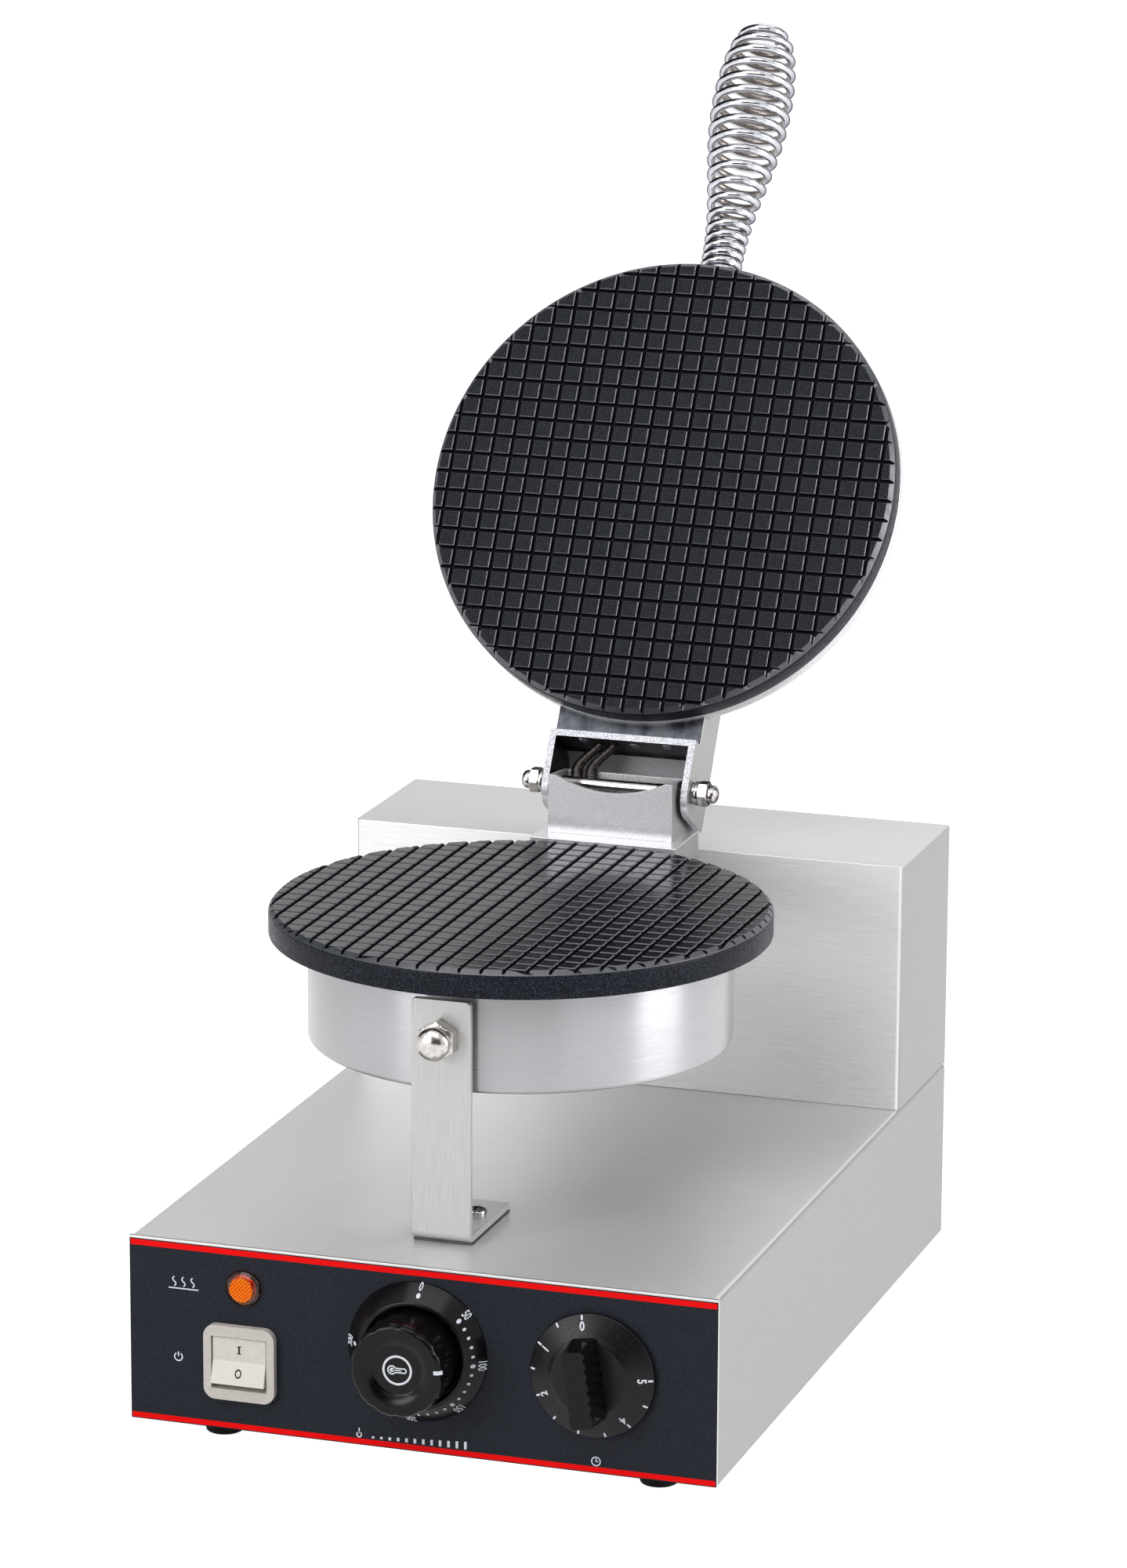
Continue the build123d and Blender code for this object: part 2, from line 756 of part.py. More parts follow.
with BuildPart() as power_rocker:
    with BuildSketch(facing_right(switch_x - rocker_width / 2)):
        with Locations(Location((rocker_pivot_y, switch_z, 0), (0, 0, -rocker_angle))):
            Polygon(
                (rocker_tail, -rocker_height / 2),
                (rocker_tail, rocker_height / 2),
                (-rocker_rise, rocker_height / 2),
                (-rocker_crease, 0),
                (-rocker_rise, -rocker_height / 2),
                align=None,
            )
    extrude(amount=rocker_width)
    pins_length = rocker_width + 2 * rocker_pin_length
    with BuildSketch(facing_right(switch_x - pins_length / 2)):
        with Locations((rocker_pivot_y, switch_z)):
            Circle(rocker_pin_radius)
    extrude(amount=pins_length)
save(power_rocker, "power_rocker")


with BuildPart() as dial_bezel:
    with BuildSketch(turned_about(dial_x, dial_z)):
        Polygon(
            (bezel_bore, 0),
            (bezel_radius, 0),
            (bezel_top_radius, bezel_proud),
            (bezel_bore, bezel_proud),
            align=None,
        )
    revolve(axis=panel_axis(dial_x, dial_z))
save(dial_bezel, "dial_bezel")

with BuildPart() as temperature_knob:
    with BuildSketch(facing_front(front_y - knob_gap, dial_x, dial_z)):
        Circle(knob_radius)
        with PolarLocations(knob_radius + knob_flute_radius - knob_flute_depth, knob_flutes):
            Circle(knob_flute_radius, mode=Mode.SUBTRACT)
    extrude(amount=knob_proud - knob_gap)
    with BuildSketch(facing_front(front_y - knob_gap, dial_x, dial_z)):
        RegularPolygon(shaft_radius, shaft_sides)
    extrude(amount=shaft_seat, mode=Mode.SUBTRACT)
save(temperature_knob, "temperature_knob")

with BuildPart() as timer_knob:
    with BuildSketch(turned_about(timer_x, timer_z)):
        Polygon(
            (0, knob_gap),
            (timer_radius, knob_gap),
            (timer_shoulder_radius, timer_shoulder),
            (0, timer_shoulder),
            align=None,
        )
    revolve(axis=panel_axis(timer_x, timer_z))
    with BuildSketch(facing_front(front_y - knob_gap, timer_x, timer_z)):
        Rectangle(timer_grip_width, timer_grip_length)
    extrude(amount=timer_proud - knob_gap, taper=timer_grip_taper)
    with BuildSketch(facing_front(front_y - knob_gap, timer_x, timer_z)):
        RegularPolygon(shaft_radius, shaft_sides)
    extrude(amount=shaft_seat, mode=Mode.SUBTRACT)
save(timer_knob, "timer_knob")


def control_shaft(x, z):
    """Shaft from a knob through the panel into the switch body behind it."""
    with BuildPart() as shaft:
        with BuildSketch(facing_front(front_y - knob_gap - shaft_seat, x, z)):
            RegularPolygon(shaft_radius, shaft_sides)
        extrude(amount=-(knob_gap + shaft_seat + panel_thickness + shaft_depth))
    return shaft


def control_body(x, z, width, length):
    """Switch body on the back of the panel, with the bore that its shaft turns in."""
    with BuildPart() as body:
        with BuildSketch(facing_front(panel_back, x, z)):
            Rectangle(width, width)
        extrude(amount=-length)
        with BuildSketch(facing_front(panel_back, x, z)):
            Circle(shaft_radius + running_gap)
        extrude(amount=-shaft_depth, mode=Mode.SUBTRACT)
    return body


save(control_shaft(dial_x, dial_z), "thermostat_shaft")
save(control_shaft(timer_x, timer_z), "timer_shaft")
save(control_body(dial_x, dial_z, thermostat_width, thermostat_length), "thermostat")
save(control_body(timer_x, timer_z, timer_body_width, timer_body_length), "timer_body")
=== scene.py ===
import json
import math

import bmesh
import bpy
from mathutils import Matrix, Vector
from mathutils.geometry import interpolate_bezier


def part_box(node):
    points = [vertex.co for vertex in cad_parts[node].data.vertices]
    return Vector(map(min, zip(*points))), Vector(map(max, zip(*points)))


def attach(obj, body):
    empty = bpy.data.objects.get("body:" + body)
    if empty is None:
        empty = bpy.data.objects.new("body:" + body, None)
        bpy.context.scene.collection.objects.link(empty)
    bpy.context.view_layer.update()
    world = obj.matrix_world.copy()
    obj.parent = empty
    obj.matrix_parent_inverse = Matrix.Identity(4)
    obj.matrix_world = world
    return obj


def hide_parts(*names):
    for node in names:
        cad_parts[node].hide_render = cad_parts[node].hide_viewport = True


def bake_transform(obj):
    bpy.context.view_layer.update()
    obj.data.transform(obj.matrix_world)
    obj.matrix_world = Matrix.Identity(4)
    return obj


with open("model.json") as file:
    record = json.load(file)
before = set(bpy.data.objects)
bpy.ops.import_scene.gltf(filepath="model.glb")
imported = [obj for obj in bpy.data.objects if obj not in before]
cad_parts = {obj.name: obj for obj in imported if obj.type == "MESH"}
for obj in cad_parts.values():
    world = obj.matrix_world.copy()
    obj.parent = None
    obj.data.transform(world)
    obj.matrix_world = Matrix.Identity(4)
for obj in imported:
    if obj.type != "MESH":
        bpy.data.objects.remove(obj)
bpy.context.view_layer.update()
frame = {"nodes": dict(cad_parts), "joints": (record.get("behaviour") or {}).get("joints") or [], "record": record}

MM = 0.001
TAU = 2 * math.pi
record = frame["record"]
joints = {joint["name"]: joint for joint in frame["joints"]}

# Everything below is modelled in millimetres and turned to metres by make() and at().

# ---- dimensions that the solids' boxes don't give ----

open_lean = math.radians(30.66)
plate_reach = 133.8         # from the hinge axis to the middle of a plate
face_offset = 15.8          # cooking face in front of the hinge axis, in the lid
groove_pitch = 8.88
groove_width = 1.7
groove_bed = 0.9
groove_depth = 1.7
edge_round = 0.4            # worn edge of each square
plate_chamfer = 2.2
pan_radius = 88.8
pan_depth = 44.6
rim_radius = 105.0
rim_thickness = 6.0
cheek_back = 22.3
cheek_thickness = 3.0
flange_reach = 21.4
bend_radius = 14.0          # inside, between the bracket's back wall and its flange
stud_radius = 3.0
stud_thread = 13.0          # threaded length inside each cheek
tray_back, tray_sheet = 8.8, 2.0
rear_wall_drop = 2.6        # of the tray's rear wall under its cheeks

handle_lean = math.radians(3.75)
handle_depth = 31.6
wire_radius = 1.9
turn_steps = 36
coil_start, coil_end = 12.0, 144.0
neck_radius, belly_radius, tip_radius = 9.4, 18.2, 8.6
neck_end, belly_at = 30.0, 107.0
neck_pitch, belly_pitch, tip_pitch = 4.1, 7.2, 4.8
pitch_rise, pitch_fall = 32.0, 16.0

knob_gap = 1.2
bezel_bore, bezel_top_radius, bezel_proud = 21.0, 22.4, 7.5
timer_shoulder_radius, timer_shoulder = 17.5, 7.0
timer_rest = 8.0            # degrees that the knob stands off upright
rocker_angle = math.radians(8.0)
rocker_pivot_depth = 4.0
rocker_crease, rocker_rise = 6.5, 7.9
rocker_half = 9.75          # from the rocker's crease to either end

FACING = 0.7                # least part of a face's normal along an axis that it looks along
SQUARELY = 0.9              # the same where bends are left out

# ---- places read from the frame ----


def span(node):
    """Lowest and highest corner of a solid, in millimetres."""
    low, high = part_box(node)
    return low / MM, high / MM


def middle(node):
    low, high = span(node)
    return (low + high) / 2


def at(x=0.0, y=0.0, z=0.0):
    return Matrix.Translation((x * MM, y * MM, z * MM))


panel_low, panel_high = span("control_panel")
front_y, case_bottom, case_top = panel_low.y, panel_low.z, panel_high.z
case_half = panel_high.x
plate_low, plate_high = span("lower_plate")
plate_radius, plate_thickness = plate_high.x, plate_high.z - plate_low.z
plate_y, plate_top = (plate_low.y + plate_high.y) / 2, plate_high.z
hinge = Vector(joints["lid_hinge"]["pos_m"]) / MM

FACING_FRONT = Matrix(((1, 0, 0), (0, 0, -1), (0, 1, 0))).to_4x4()
FACING_RIGHT = Matrix(((0, 0, 1), (0, 1, 0), (-1, 0, 0))).to_4x4()


def on_panel(x, z):
    """Local Z looks out of the control panel, X to the right and Y up."""
    return at(x, front_y, z) @ FACING_FRONT


def control(node):
    """Radius, reach and place of a control on the panel that is round from the front."""
    low, high = span(node)
    centre = (low + high) / 2
    return high.x - centre.x, front_y - low.y, on_panel(centre.x, centre.z)


def in_lid(across=0.0, along=0.0, towards=0.0):
    """In the open lid local Y runs away from the hinge and Z towards the cooking side."""
    turn = Matrix.Rotation(math.pi / 2 - open_lean, 4, "X")
    return at(*hinge) @ turn @ at(across, along, towards)


# ---- materials ----

def linear(value):
    value /= 255
    return value / 12.92 if value <= 0.04045 else ((value + 0.055) / 1.055) ** 2.4


def rgb(red, green, blue):
    """Linear colour from the usual 0 to 255 values."""
    return (linear(red), linear(green), linear(blue), 1.0)


def patterned(
    name, base, low, high, shares, roughness, sheen, noise, relief, metallic=0.0, sheen_noise=None,
    **sockets
):
    """Principled material whose colour, sheen and relief follow noise over the piece's own axes.

    noise is scale, detail and squeeze; shares are where it turns the colour from low to high; sheen
    is the least and most roughness; relief is strength and distance."""
    material = bpy.data.materials.new(name)
    material.use_nodes = True
    nodes, link = material.node_tree.nodes, material.node_tree.links.new
    inputs = nodes["Principled BSDF"].inputs
    sockets |= {"Base_Color": rgb(*base), "Roughness": roughness, "Metallic": metallic}
    for socket, value in sockets.items():
        inputs[socket.replace("_", " ")].default_value = value
    place = nodes.new("ShaderNodeTexCoord").outputs["Object"]

    def noise_of(scale, detail=2.0, stretch=(1, 1, 1)):
        mapping = nodes.new("ShaderNodeMapping")
        mapping.inputs["Scale"].default_value = stretch
        link(place, mapping.inputs["Vector"])
        texture = nodes.new("ShaderNodeTexNoise")
        texture.inputs["Scale"].default_value = scale
        texture.inputs["Detail"].default_value = detail
        link(mapping.outputs["Vector"], texture.inputs["Vector"])
        return texture.outputs["Fac"]

    def ramped(source, first, last, socket, start=0.3, end=0.7):
        ramp = nodes.new("ShaderNodeValToRGB")
        for stop, share, colour in zip(ramp.color_ramp.elements, (start, end), (first, last)):
            stop.position, stop.color = share, colour
        link(source, ramp.inputs["Fac"])
        link(ramp.outputs["Color"], inputs[socket])

    pattern = noise_of(*noise)
    ramped(pattern, rgb(*low), rgb(*high), "Base Color", *shares)
    smooth, coarse = sheen
    rough_source = noise_of(*sheen_noise) if sheen_noise else pattern
    ramped(rough_source, (smooth, smooth, smooth, 1), (coarse, coarse, coarse, 1), "Roughness")
    bump = nodes.new("ShaderNodeBump")
    bump.inputs["Strength"].default_value, bump.inputs["Distance"].default_value = relief
    link(pattern, bump.inputs["Height"])
    link(bump.outputs["Normal"], inputs["Normal"])
    return material


def brushed(
    name, grain, light=(216, 216, 215), dark=(203, 203, 203), roughness=0.42, depth=0.00003,
    metallic=0.62, **sockets
):
    """Brushed steel; grain squeezes the scratches along X, Y and Z."""
    sheen = (roughness * 0.88, roughness * 1.16)
    return patterned(
        name, light, dark, light, (0.35, 0.65), roughness, sheen, (1.0, 4.0, grain), (0.2, depth),
        metallic, **sockets
    )


def turned(name, grain):
    """Steel brushed round local Z, with streaks of light that run across the scratches."""
    material = brushed(
        name, grain, (184, 184, 187), (174, 174, 178), 0.31, 0.000004,
        Anisotropic=0.9, Anisotropic_Rotation=0.25,
    )
    tree = material.node_tree
    tangent = tree.nodes.new("ShaderNodeTangent")
    tangent.direction_type = "RADIAL"
    tangent.axis = "Z"
    tree.links.new(tangent.outputs["Tangent"], tree.nodes["Principled BSDF"].inputs["Tangent"])
    return material


def clouded(name, light, dark, scale, roughness, depth=0.00012, **sockets):
    """Bare or plated metal with cloudy spots."""
    sheen = (roughness * 0.75, roughness * 1.3)
    return patterned(
        name, light, dark, light, (0.36, 0.62), roughness, sheen, (scale, 6.0), (0.35, depth), 1.0,
        **sockets
    )


def moulded(name, light, dark, roughness, scale=1400.0, depth=0.00002, **sockets):
    """Plastic, rubber or print with a slight grain in colour, sheen and surface."""
    sheen = (roughness * 0.8, roughness * 1.25)
    return patterned(
        name, light, dark, light, (0.3, 0.7), roughness, sheen, (scale,), (0.3, depth), **sockets
    )


def coated_iron(name, light, speck, roughness, specular):
    """Non-stick coating with a fine sparkle."""
    return patterned(
        name, light, light, speck, (0.52, 0.86), roughness, (roughness - 0.06, roughness + 0.1),
        (2600.0,), (0.3, 0.00004), sheen_noise=(420.0, 3.0), Specular_IOR_Level=specular,
    )


FINE, LONG = 3600.0, 60.0    # noise scales across and along the scratches
steel_across = brushed("steel_brushed_across", (LONG, FINE, FINE))
# Painted shade: a darker copy of the brushed steel for faces that look sideways.
steel_deep_shaded = brushed("steel_brushed_deep_shaded", (FINE, LONG, FINE), (161, 161, 161), (146, 146, 147))
steel_upright = brushed("steel_brushed_upright", (FINE, FINE, LONG), (191, 191, 190), (176, 176, 176))
# Painted light: a lighter copy of the brushed steel for faces that look ahead.
steel_front_lit = brushed("steel_brushed_front_lit", (LONG, FINE, FINE), (232, 232, 231), (217, 217, 217))
steel_round = turned("steel_turned", (LONG, LONG, FINE))
sheet_bright = brushed(
    "sheet_bright", (4800.0, 4800.0, 700.0), (222, 222, 225), (217, 217, 221), 0.26, 0.000001, 0.45
)
zinc_edges = clouded("zinc_edges", (178, 178, 182), (112, 114, 120), 1700.0, 0.34)
# Painted shade: darker copies of the bracket sheet for the web's face towards the plates, the channel's inner
# faces and the front support's shim.
web_painted_shade = clouded("web_painted_shade", (96, 98, 104), (44, 46, 52), 110.0, 0.36, 0.00003)
cheek_painted_shade = clouded("cheek_painted_shade", (52, 52, 56), (22, 22, 26), 60.0, 0.32, 0.00003)
sheet_painted_shade = clouded("sheet_painted_shade", (84, 84, 89), (48, 48, 53), 90.0, 0.36, 0.00001)
coating = coated_iron("coated_iron", (14, 16, 23), (104, 109, 126), 0.36, 0.08)
coating_oiled = coated_iron("coated_oiled", (10, 11, 15), (46, 49, 58), 0.16, 0.18)
coating_edge = coated_iron("coated_edge", (46, 49, 57), (104, 108, 120), 0.42, 1.0)
# Painted shade: a darker copy of the coating for the grooves.
coating_groove_shade = coated_iron("coated_groove_shade", (8, 9, 13), (15, 16, 21), 0.5, 0.05)
film = patterned(
    "panel_film", (38, 40, 48), (27, 29, 36), (48, 51, 60), (0.34, 0.7), 0.5, (0.42, 0.6), (2200.0,),
    (0.2, 0.00003), Specular_IOR_Level=0.08,
)
dull = {"Specular_IOR_Level": 0.12}
red_print = moulded("red_print", (250, 4, 8), (240, 2, 6), 0.42, **dull)
white_print = moulded("white_print", (236, 240, 248), (222, 226, 236), 0.5, **dull)
dark_print = moulded("dark_print", (46, 44, 46), (32, 30, 32), 0.5, **dull)
black_gloss = moulded("black_gloss", (12, 12, 15), (7, 7, 10), 0.2, Specular_IOR_Level=0.18)
black_shiny = moulded("black_shiny", (12, 12, 15), (8, 8, 11), 0.15, Specular_IOR_Level=0.17)
black_satin = moulded("black_satin", (15, 15, 18), (9, 9, 12), 0.34, depth=0.00004, Specular_IOR_Level=0.22)
black_matte = moulded("black_matte", (22, 22, 22), (15, 15, 15), 0.7, **dull)
rubber = moulded("rubber_black", (22, 22, 23), (14, 14, 15), 0.75, **dull)
ivory = moulded("ivory_plastic", (222, 219, 209), (216, 213, 202), 0.26, scale=300.0, Specular_IOR_Level=0.3)
warm_grey = moulded("warm_grey_plastic", (208, 202, 195), (198, 192, 185), 0.36, scale=500.0)
dark_outline = {"Specular_Tint": rgb(60, 62, 72)}
chrome = clouded("chrome_wire", (212, 213, 218), (200, 201, 207), 300.0, 0.05, 0.000003, **dark_outline)
# Painted shade: darker, duller, brownish chrome for the side of the wire that faces the coil's axis.
chrome_inside_shade = clouded("chrome_inside_shade", (166, 159, 155), (156, 149, 145), 300.0, 0.26, 0.000003)
plated_satin = clouded("plated_satin", (206, 201, 198), (182, 177, 173), 500.0, 0.2, 0.00001)
plated = clouded("plated_nut", (196, 192, 190), (168, 164, 162), 500.0, 0.12, 0.00001, **dark_outline)
brass = clouded("brass_shaft", (198, 166, 96), (176, 144, 78), 600.0, 0.3)
sleeve_metal = clouded("conduit_sleeve", (92, 88, 86), (66, 62, 60), 700.0, 0.26, 0.00002)
amber = moulded("amber_lens", (255, 140, 4), (255, 124, 0), 0.12, scale=500.0)
# Painted shade: darker amber for one side of each stud on the lamp's lens.
amber_painted_shade = moulded("amber_painted_shade", (196, 84, 0), (176, 70, 0), 0.12, scale=500.0)
amber_clear = moulded(
    "amber_clear", (255, 128, 24), (255, 116, 12), 0.03, 200.0, 0.0000001, Transmission_Weight=1.0, IOR=1.45
)

slot_materials = {
    "casing": steel_across,
    "panel": film,
    "rubber": rubber,
    "coated_plate": coating,
    "pan_steel": steel_round,
    "bracket_steel": sheet_bright,
    "plated_hardware": plated,
    "chrome": chrome,
    "conduit": sleeve_metal,
    "black_plastic": black_gloss,
    "switch_plastic": warm_grey,
    "rocker_plastic": ivory,
    "lamp_amber": amber,
    "control_bodies": black_matte,
    "shaft_brass": brass,
}
for part in record["subparts"]:
    node = frame["nodes"][part["node"]]
    node.data.materials.clear()
    node.data.materials.append(slot_materials[part["material_slot"]])


# ---- mesh helpers ----

def rounded(points, radius, steps=4):
    """Open outline with its inner corners rounded off."""
    points = [Vector(point) for point in points]
    smooth = [points[0]]
    for before, corner, after in zip(points, points[1:], points[2:]):
        into, out = before - corner, after - corner
        reach = min(radius, into.length * 0.45, out.length * 0.45)
        start, end = corner + into.normalized() * reach, corner + out.normalized() * reach
        for step in range(steps + 1):
            share = step / steps
            smooth.append(start.lerp(corner, share).lerp(corner.lerp(end, share), share))
    return smooth + [points[-1]]


def rounded_loop(points, radius, steps=4):
    """Closed outline with every corner rounded off."""
    points = [Vector(point) for point in points]
    seam = (points[0] + points[-1]) / 2
    return rounded([seam, *points, seam], radius, steps)[1:-1]


def rectangle(width, height, x=0.0, y=0.0):
    corners = ((-0.5, -0.5), (0.5, -0.5), (0.5, 0.5), (-0.5, 0.5))
    return [(x + width * right, y + height * up) for right, up in corners]


def arc(radius, start, end, steps=32, x=0.0, y=0.0):
    """Points of an arc, angles in degrees."""
    turns = [math.radians(start + (end - start) * step / steps) for step in range(steps + 1)]
    return [(x + radius * math.cos(turn), y + radius * math.sin(turn)) for turn in turns]


def disc(radius, steps=32, x=0.0, y=0.0):
    return arc(radius, 0, 360, steps, x, y)[:-1]


def skinned(rings, capped=True, looped=False):
    """Faces from each ring of points to the next; a ring of one point draws its neighbour in."""
    bm = bmesh.new()
    rings = [[bm.verts.new(point) for point in ring] for ring in rings]
    ends = (rings[0], rings[-1])
    if looped:
        rings.append(rings[0])
    for lower, upper in zip(rings, rings[1:]):
        steps = max(len(lower), len(upper))
        for step in range(steps):
            pairs = ((lower, step), (lower, step + 1), (upper, step + 1), (upper, step))
            corners = dict.fromkeys(ring[number % len(ring)] for ring, number in pairs)
            if len(corners) > 2:
                bm.faces.new(tuple(corners))
    for end in ends if capped else ():
        bm.faces.new(end)
    bmesh.ops.recalc_face_normals(bm, faces=bm.faces)
    return bm


def prism(outline, low, high):
    """Closed outline in local X and Y carried from one height to another."""
    bm = bmesh.new()
    below, above = ([bm.verts.new((*point, height)) for point in outline] for height in (low, high))
    bm.faces.new(below)
    bm.faces.new(above)
    for index in range(len(outline)):
        bm.faces.new((below[index - 1], below[index], above[index], above[index - 1]))
    bmesh.ops.recalc_face_normals(bm, faces=bm.faces)
    return bm


def lathe(profile, steps=96, closed=False):
    """Turns (radius, height) pairs about local Z; a radius may be a function of the angle."""
    rings = []
    for radius, height in profile:
        if not callable(radius) and radius < 1e-6:
            rings.append([(0, 0, height)])
            continue
        turns = [TAU * step / steps for step in range(steps)]
        reaches = [radius(turn) if callable(radius) else radius for turn in turns]
        rings.append([
            (reach * math.cos(turn), reach * math.sin(turn), height)
            for reach, turn in zip(reaches, turns)
        ])
    return skinned(rings, capped=False, looped=closed)


def thread(radius, low, high, pitch, depth):
    """Lathe rings of a helical thread between two heights."""
    count = round((high - low) / pitch * 4)
    rings = []
    for step in range(count + 1):
        height = low + (high - low) * step / count

        def reach(turn, height=height):
            return radius - depth * abs(2 * ((height / pitch - turn / TAU) % 1) - 1)

        rings.append((reach, height))
    return rings


def hexagon(flats, low, high):
    """Lathe rings of a hexagon nut whose corners are turned off at both ends."""
    apothem = flats / 2

    def ring(depth):
        def reach(turn):
            corner = apothem / math.cos((turn + TAU / 12) % (TAU / 6) - TAU / 12)
            return min(corner, apothem * 0.985 + depth * math.sqrt(3))
        return reach

    depths = [apothem * share for share in (0.0, 0.03, 0.06, 0.1)]
    return [(ring(depth), low + depth) for depth in depths] + [
        (ring(depth), high - depth) for depth in reversed(depths)
    ]


def direction_at(points, index):
    """Direction of a line of points at one of them."""
    ahead, behind = points[min(index + 1, len(points) - 1)], points[max(index - 1, 0)]
    return (ahead - behind).normalized()


def tube(points, radius_at, sides=12):
    """Round bar along a list of points, closed at both ends."""
    rings = []
    side = None
    for index, point in enumerate(points):
        along = direction_at(points, index)
        side = along.orthogonal() if side is None else side
        side = (side - along * side.dot(along)).normalized()
        other = along.cross(side)
        rings.append([
            point + radius_at(index) * (math.cos(turn) * side + math.sin(turn) * other)
            for turn in [TAU * step / sides for step in range(sides)]
        ])
    return skinned(rings)


def mesh_of(name, bm):
    """Mesh that takes over a bmesh, which is freed."""
    mesh = bpy.data.meshes.new(name)
    bm.to_mesh(mesh)
    bm.free()
    return mesh


def in_scene(name, data):
    thing = bpy.data.objects.new(name, data)
    bpy.context.scene.collection.objects.link(thing)
    return thing


def joined(meshes):
    """One bmesh from several, which are freed."""
    whole = bmesh.new()
    for bm in meshes:
        part = mesh_of("part", bm)
        whole.from_mesh(part)
        bpy.data.meshes.remove(part)
    return whole


def moved(bm, matrix):
    bmesh.ops.transform(bm, matrix=matrix, verts=bm.verts)
    return bm


def shifted(bm, x=0.0, y=0.0, z=0.0):
    return moved(bm, Matrix.Translation((x, y, z)))


def solid_of(node, place=None):
    """A solid's own surface, with its facets joined into whole faces, seen from a place."""
    bm = bmesh.new()
    bm.from_mesh(frame["nodes"][node].data)
    bmesh.ops.remove_doubles(bm, verts=bm.verts, dist=0.001 * MM)
    moved(bm, (place or Matrix()).inverted())
    moved(bm, Matrix.Scale(1 / MM, 4))
    bmesh.ops.dissolve_limit(bm, angle_limit=math.radians(1), verts=bm.verts, edges=bm.edges)
    return bm


def painted(bm, pick):
    """Gives each face the material number that pick() returns for its normal and middle."""
    bm.normal_update()
    for face in bm.faces:
        face.material_index = pick(face.normal, face.calc_center_median())
    return bm


def make(name, bm, materials, place=None, bevel=0.0, angle=35.0, segments=3):
    """Object from a bmesh, smooth up to an angle, with its sharper edges rounded off."""
    bmesh.ops.scale(bm, vec=(MM, MM, MM), verts=bm.verts)
    mesh = mesh_of(name, bm)
    for material in materials if isinstance(materials, (list, tuple)) else [materials]:
        mesh.materials.append(material)
    mesh.shade_smooth()
    mesh.set_sharp_from_angle(angle=math.radians(angle))
    piece = in_scene(name, mesh)
    piece.matrix_world = place or Matrix()
    if bevel:
        round_off = piece.modifiers.new("round_off", "BEVEL")
        round_off.width = bevel * MM
        round_off.segments = segments
        round_off.limit_method = "ANGLE"
        round_off.angle_limit = math.radians(angle)
        round_off.harden_normals = True
    return piece


def combine(name, first, second, operation):
    """Bmesh of a boolean between two bmeshes, which are freed."""
    pieces = [in_scene(name, mesh_of(name, bm)) for bm in (first, second)]
    step = pieces[0].modifiers.new("step", "BOOLEAN")
    step.operation = operation
    step.solver = "EXACT"
    step.object = pieces[1]
    depsgraph = bpy.context.evaluated_depsgraph_get()
    result = bmesh.new()
    evaluated = pieces[0].evaluated_get(depsgraph)
    result.from_mesh(evaluated.to_mesh())
    evaluated.to_mesh_clear()
    for piece in pieces:
        mesh = piece.data
        bpy.data.objects.remove(piece)
        bpy.data.meshes.remove(mesh)
    return result


def letters(text, height, thickness, squeeze=0.8, weight=0.02):
    """Text centred on the origin, as a thin solid in local X and Y."""
    curve = bpy.data.curves.new("letters", "FONT")
    curve.body = text
    curve.size = height / 0.7
    curve.align_x = "CENTER"
    curve.align_y = "CENTER"
    curve.extrude = thickness / 2
    curve.offset = height * weight
    curve.resolution_u = 4
    writing = bpy.data.objects.new("letters", curve)
    mesh = bpy.data.meshes.new_from_object(writing)
    bm = bmesh.new()
    bm.from_mesh(mesh)
    bpy.data.objects.remove(writing)
    bpy.data.curves.remove(curve)
    bpy.data.meshes.remove(mesh)
    bmesh.ops.remove_doubles(bm, verts=bm.verts, dist=0.001)
    return moved(bm, Matrix.Diagonal((squeeze, 1, 1, 1)))


def stroke(points, width, low, high, closed=False):
    """Flat line of a width through points in local X and Y; a closed one ends where it starts."""
    points = [Vector(point) for point in points]
    if closed:
        points += points[:2]
    rings = []
    for index, point in enumerate(points):
        along = direction_at(points, index)
        side = Vector((-along.y, along.x)) * width / 2
        left, right = point + side, point - side
        rings.append([(*left, low), (*right, low), (*right, high), (*left, high)])
    return skinned(rings[1:] if closed else rings, capped=not closed)


def closed_down(bm, height):
    """Carries a sheet's border to a height below it and closes the shape there."""
    border = [edge for edge in bm.edges if edge.is_boundary]
    walls = bmesh.ops.extrude_edge_only(bm, edges=border)["geom"]
    for vert in [item for item in walls if isinstance(item, bmesh.types.BMVert)]:
        vert.co.z = height
    foot = [item for item in walls if isinstance(item, bmesh.types.BMEdge)]
    bmesh.ops.contextual_create(bm, geom=foot)
    bmesh.ops.recalc_face_normals(bm, faces=bm.faces)
    return bm


def add(name, bm, materials, body, slot, *replaced, place=None, **edges):
    """Makes a piece on its body and hides the solids that it stands for; slot is not used."""
    piece = make(name, bm, materials, place, **edges)
    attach(piece, body)
    if replaced:
        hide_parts(*replaced)


def sheet_piece(name, node, body, slot, materials, pick=None, place=None, **edges):
    """A solid's own shape with its edges rounded off and, where told, a finish for each face."""
    bm = solid_of(node, place)
    if pick:
        painted(bm, pick)
    add(name, bm, materials, body, slot, node, place=place, **edges)


# ---- casing ----

def sided(normal, _):
    """1 for faces that look sideways, whose grain runs front to back and which take a darker steel as painted
    shade, and 2 for the front, which on the casing takes a lighter steel as painted light.
    """
    if abs(normal.x) > FACING:
        return 1
    return 2 if normal.y < -FACING else 0


def front_only(normal, _):
    """0 for faces that look ahead and 1 for the others."""
    return 0 if normal.y < -FACING else 1


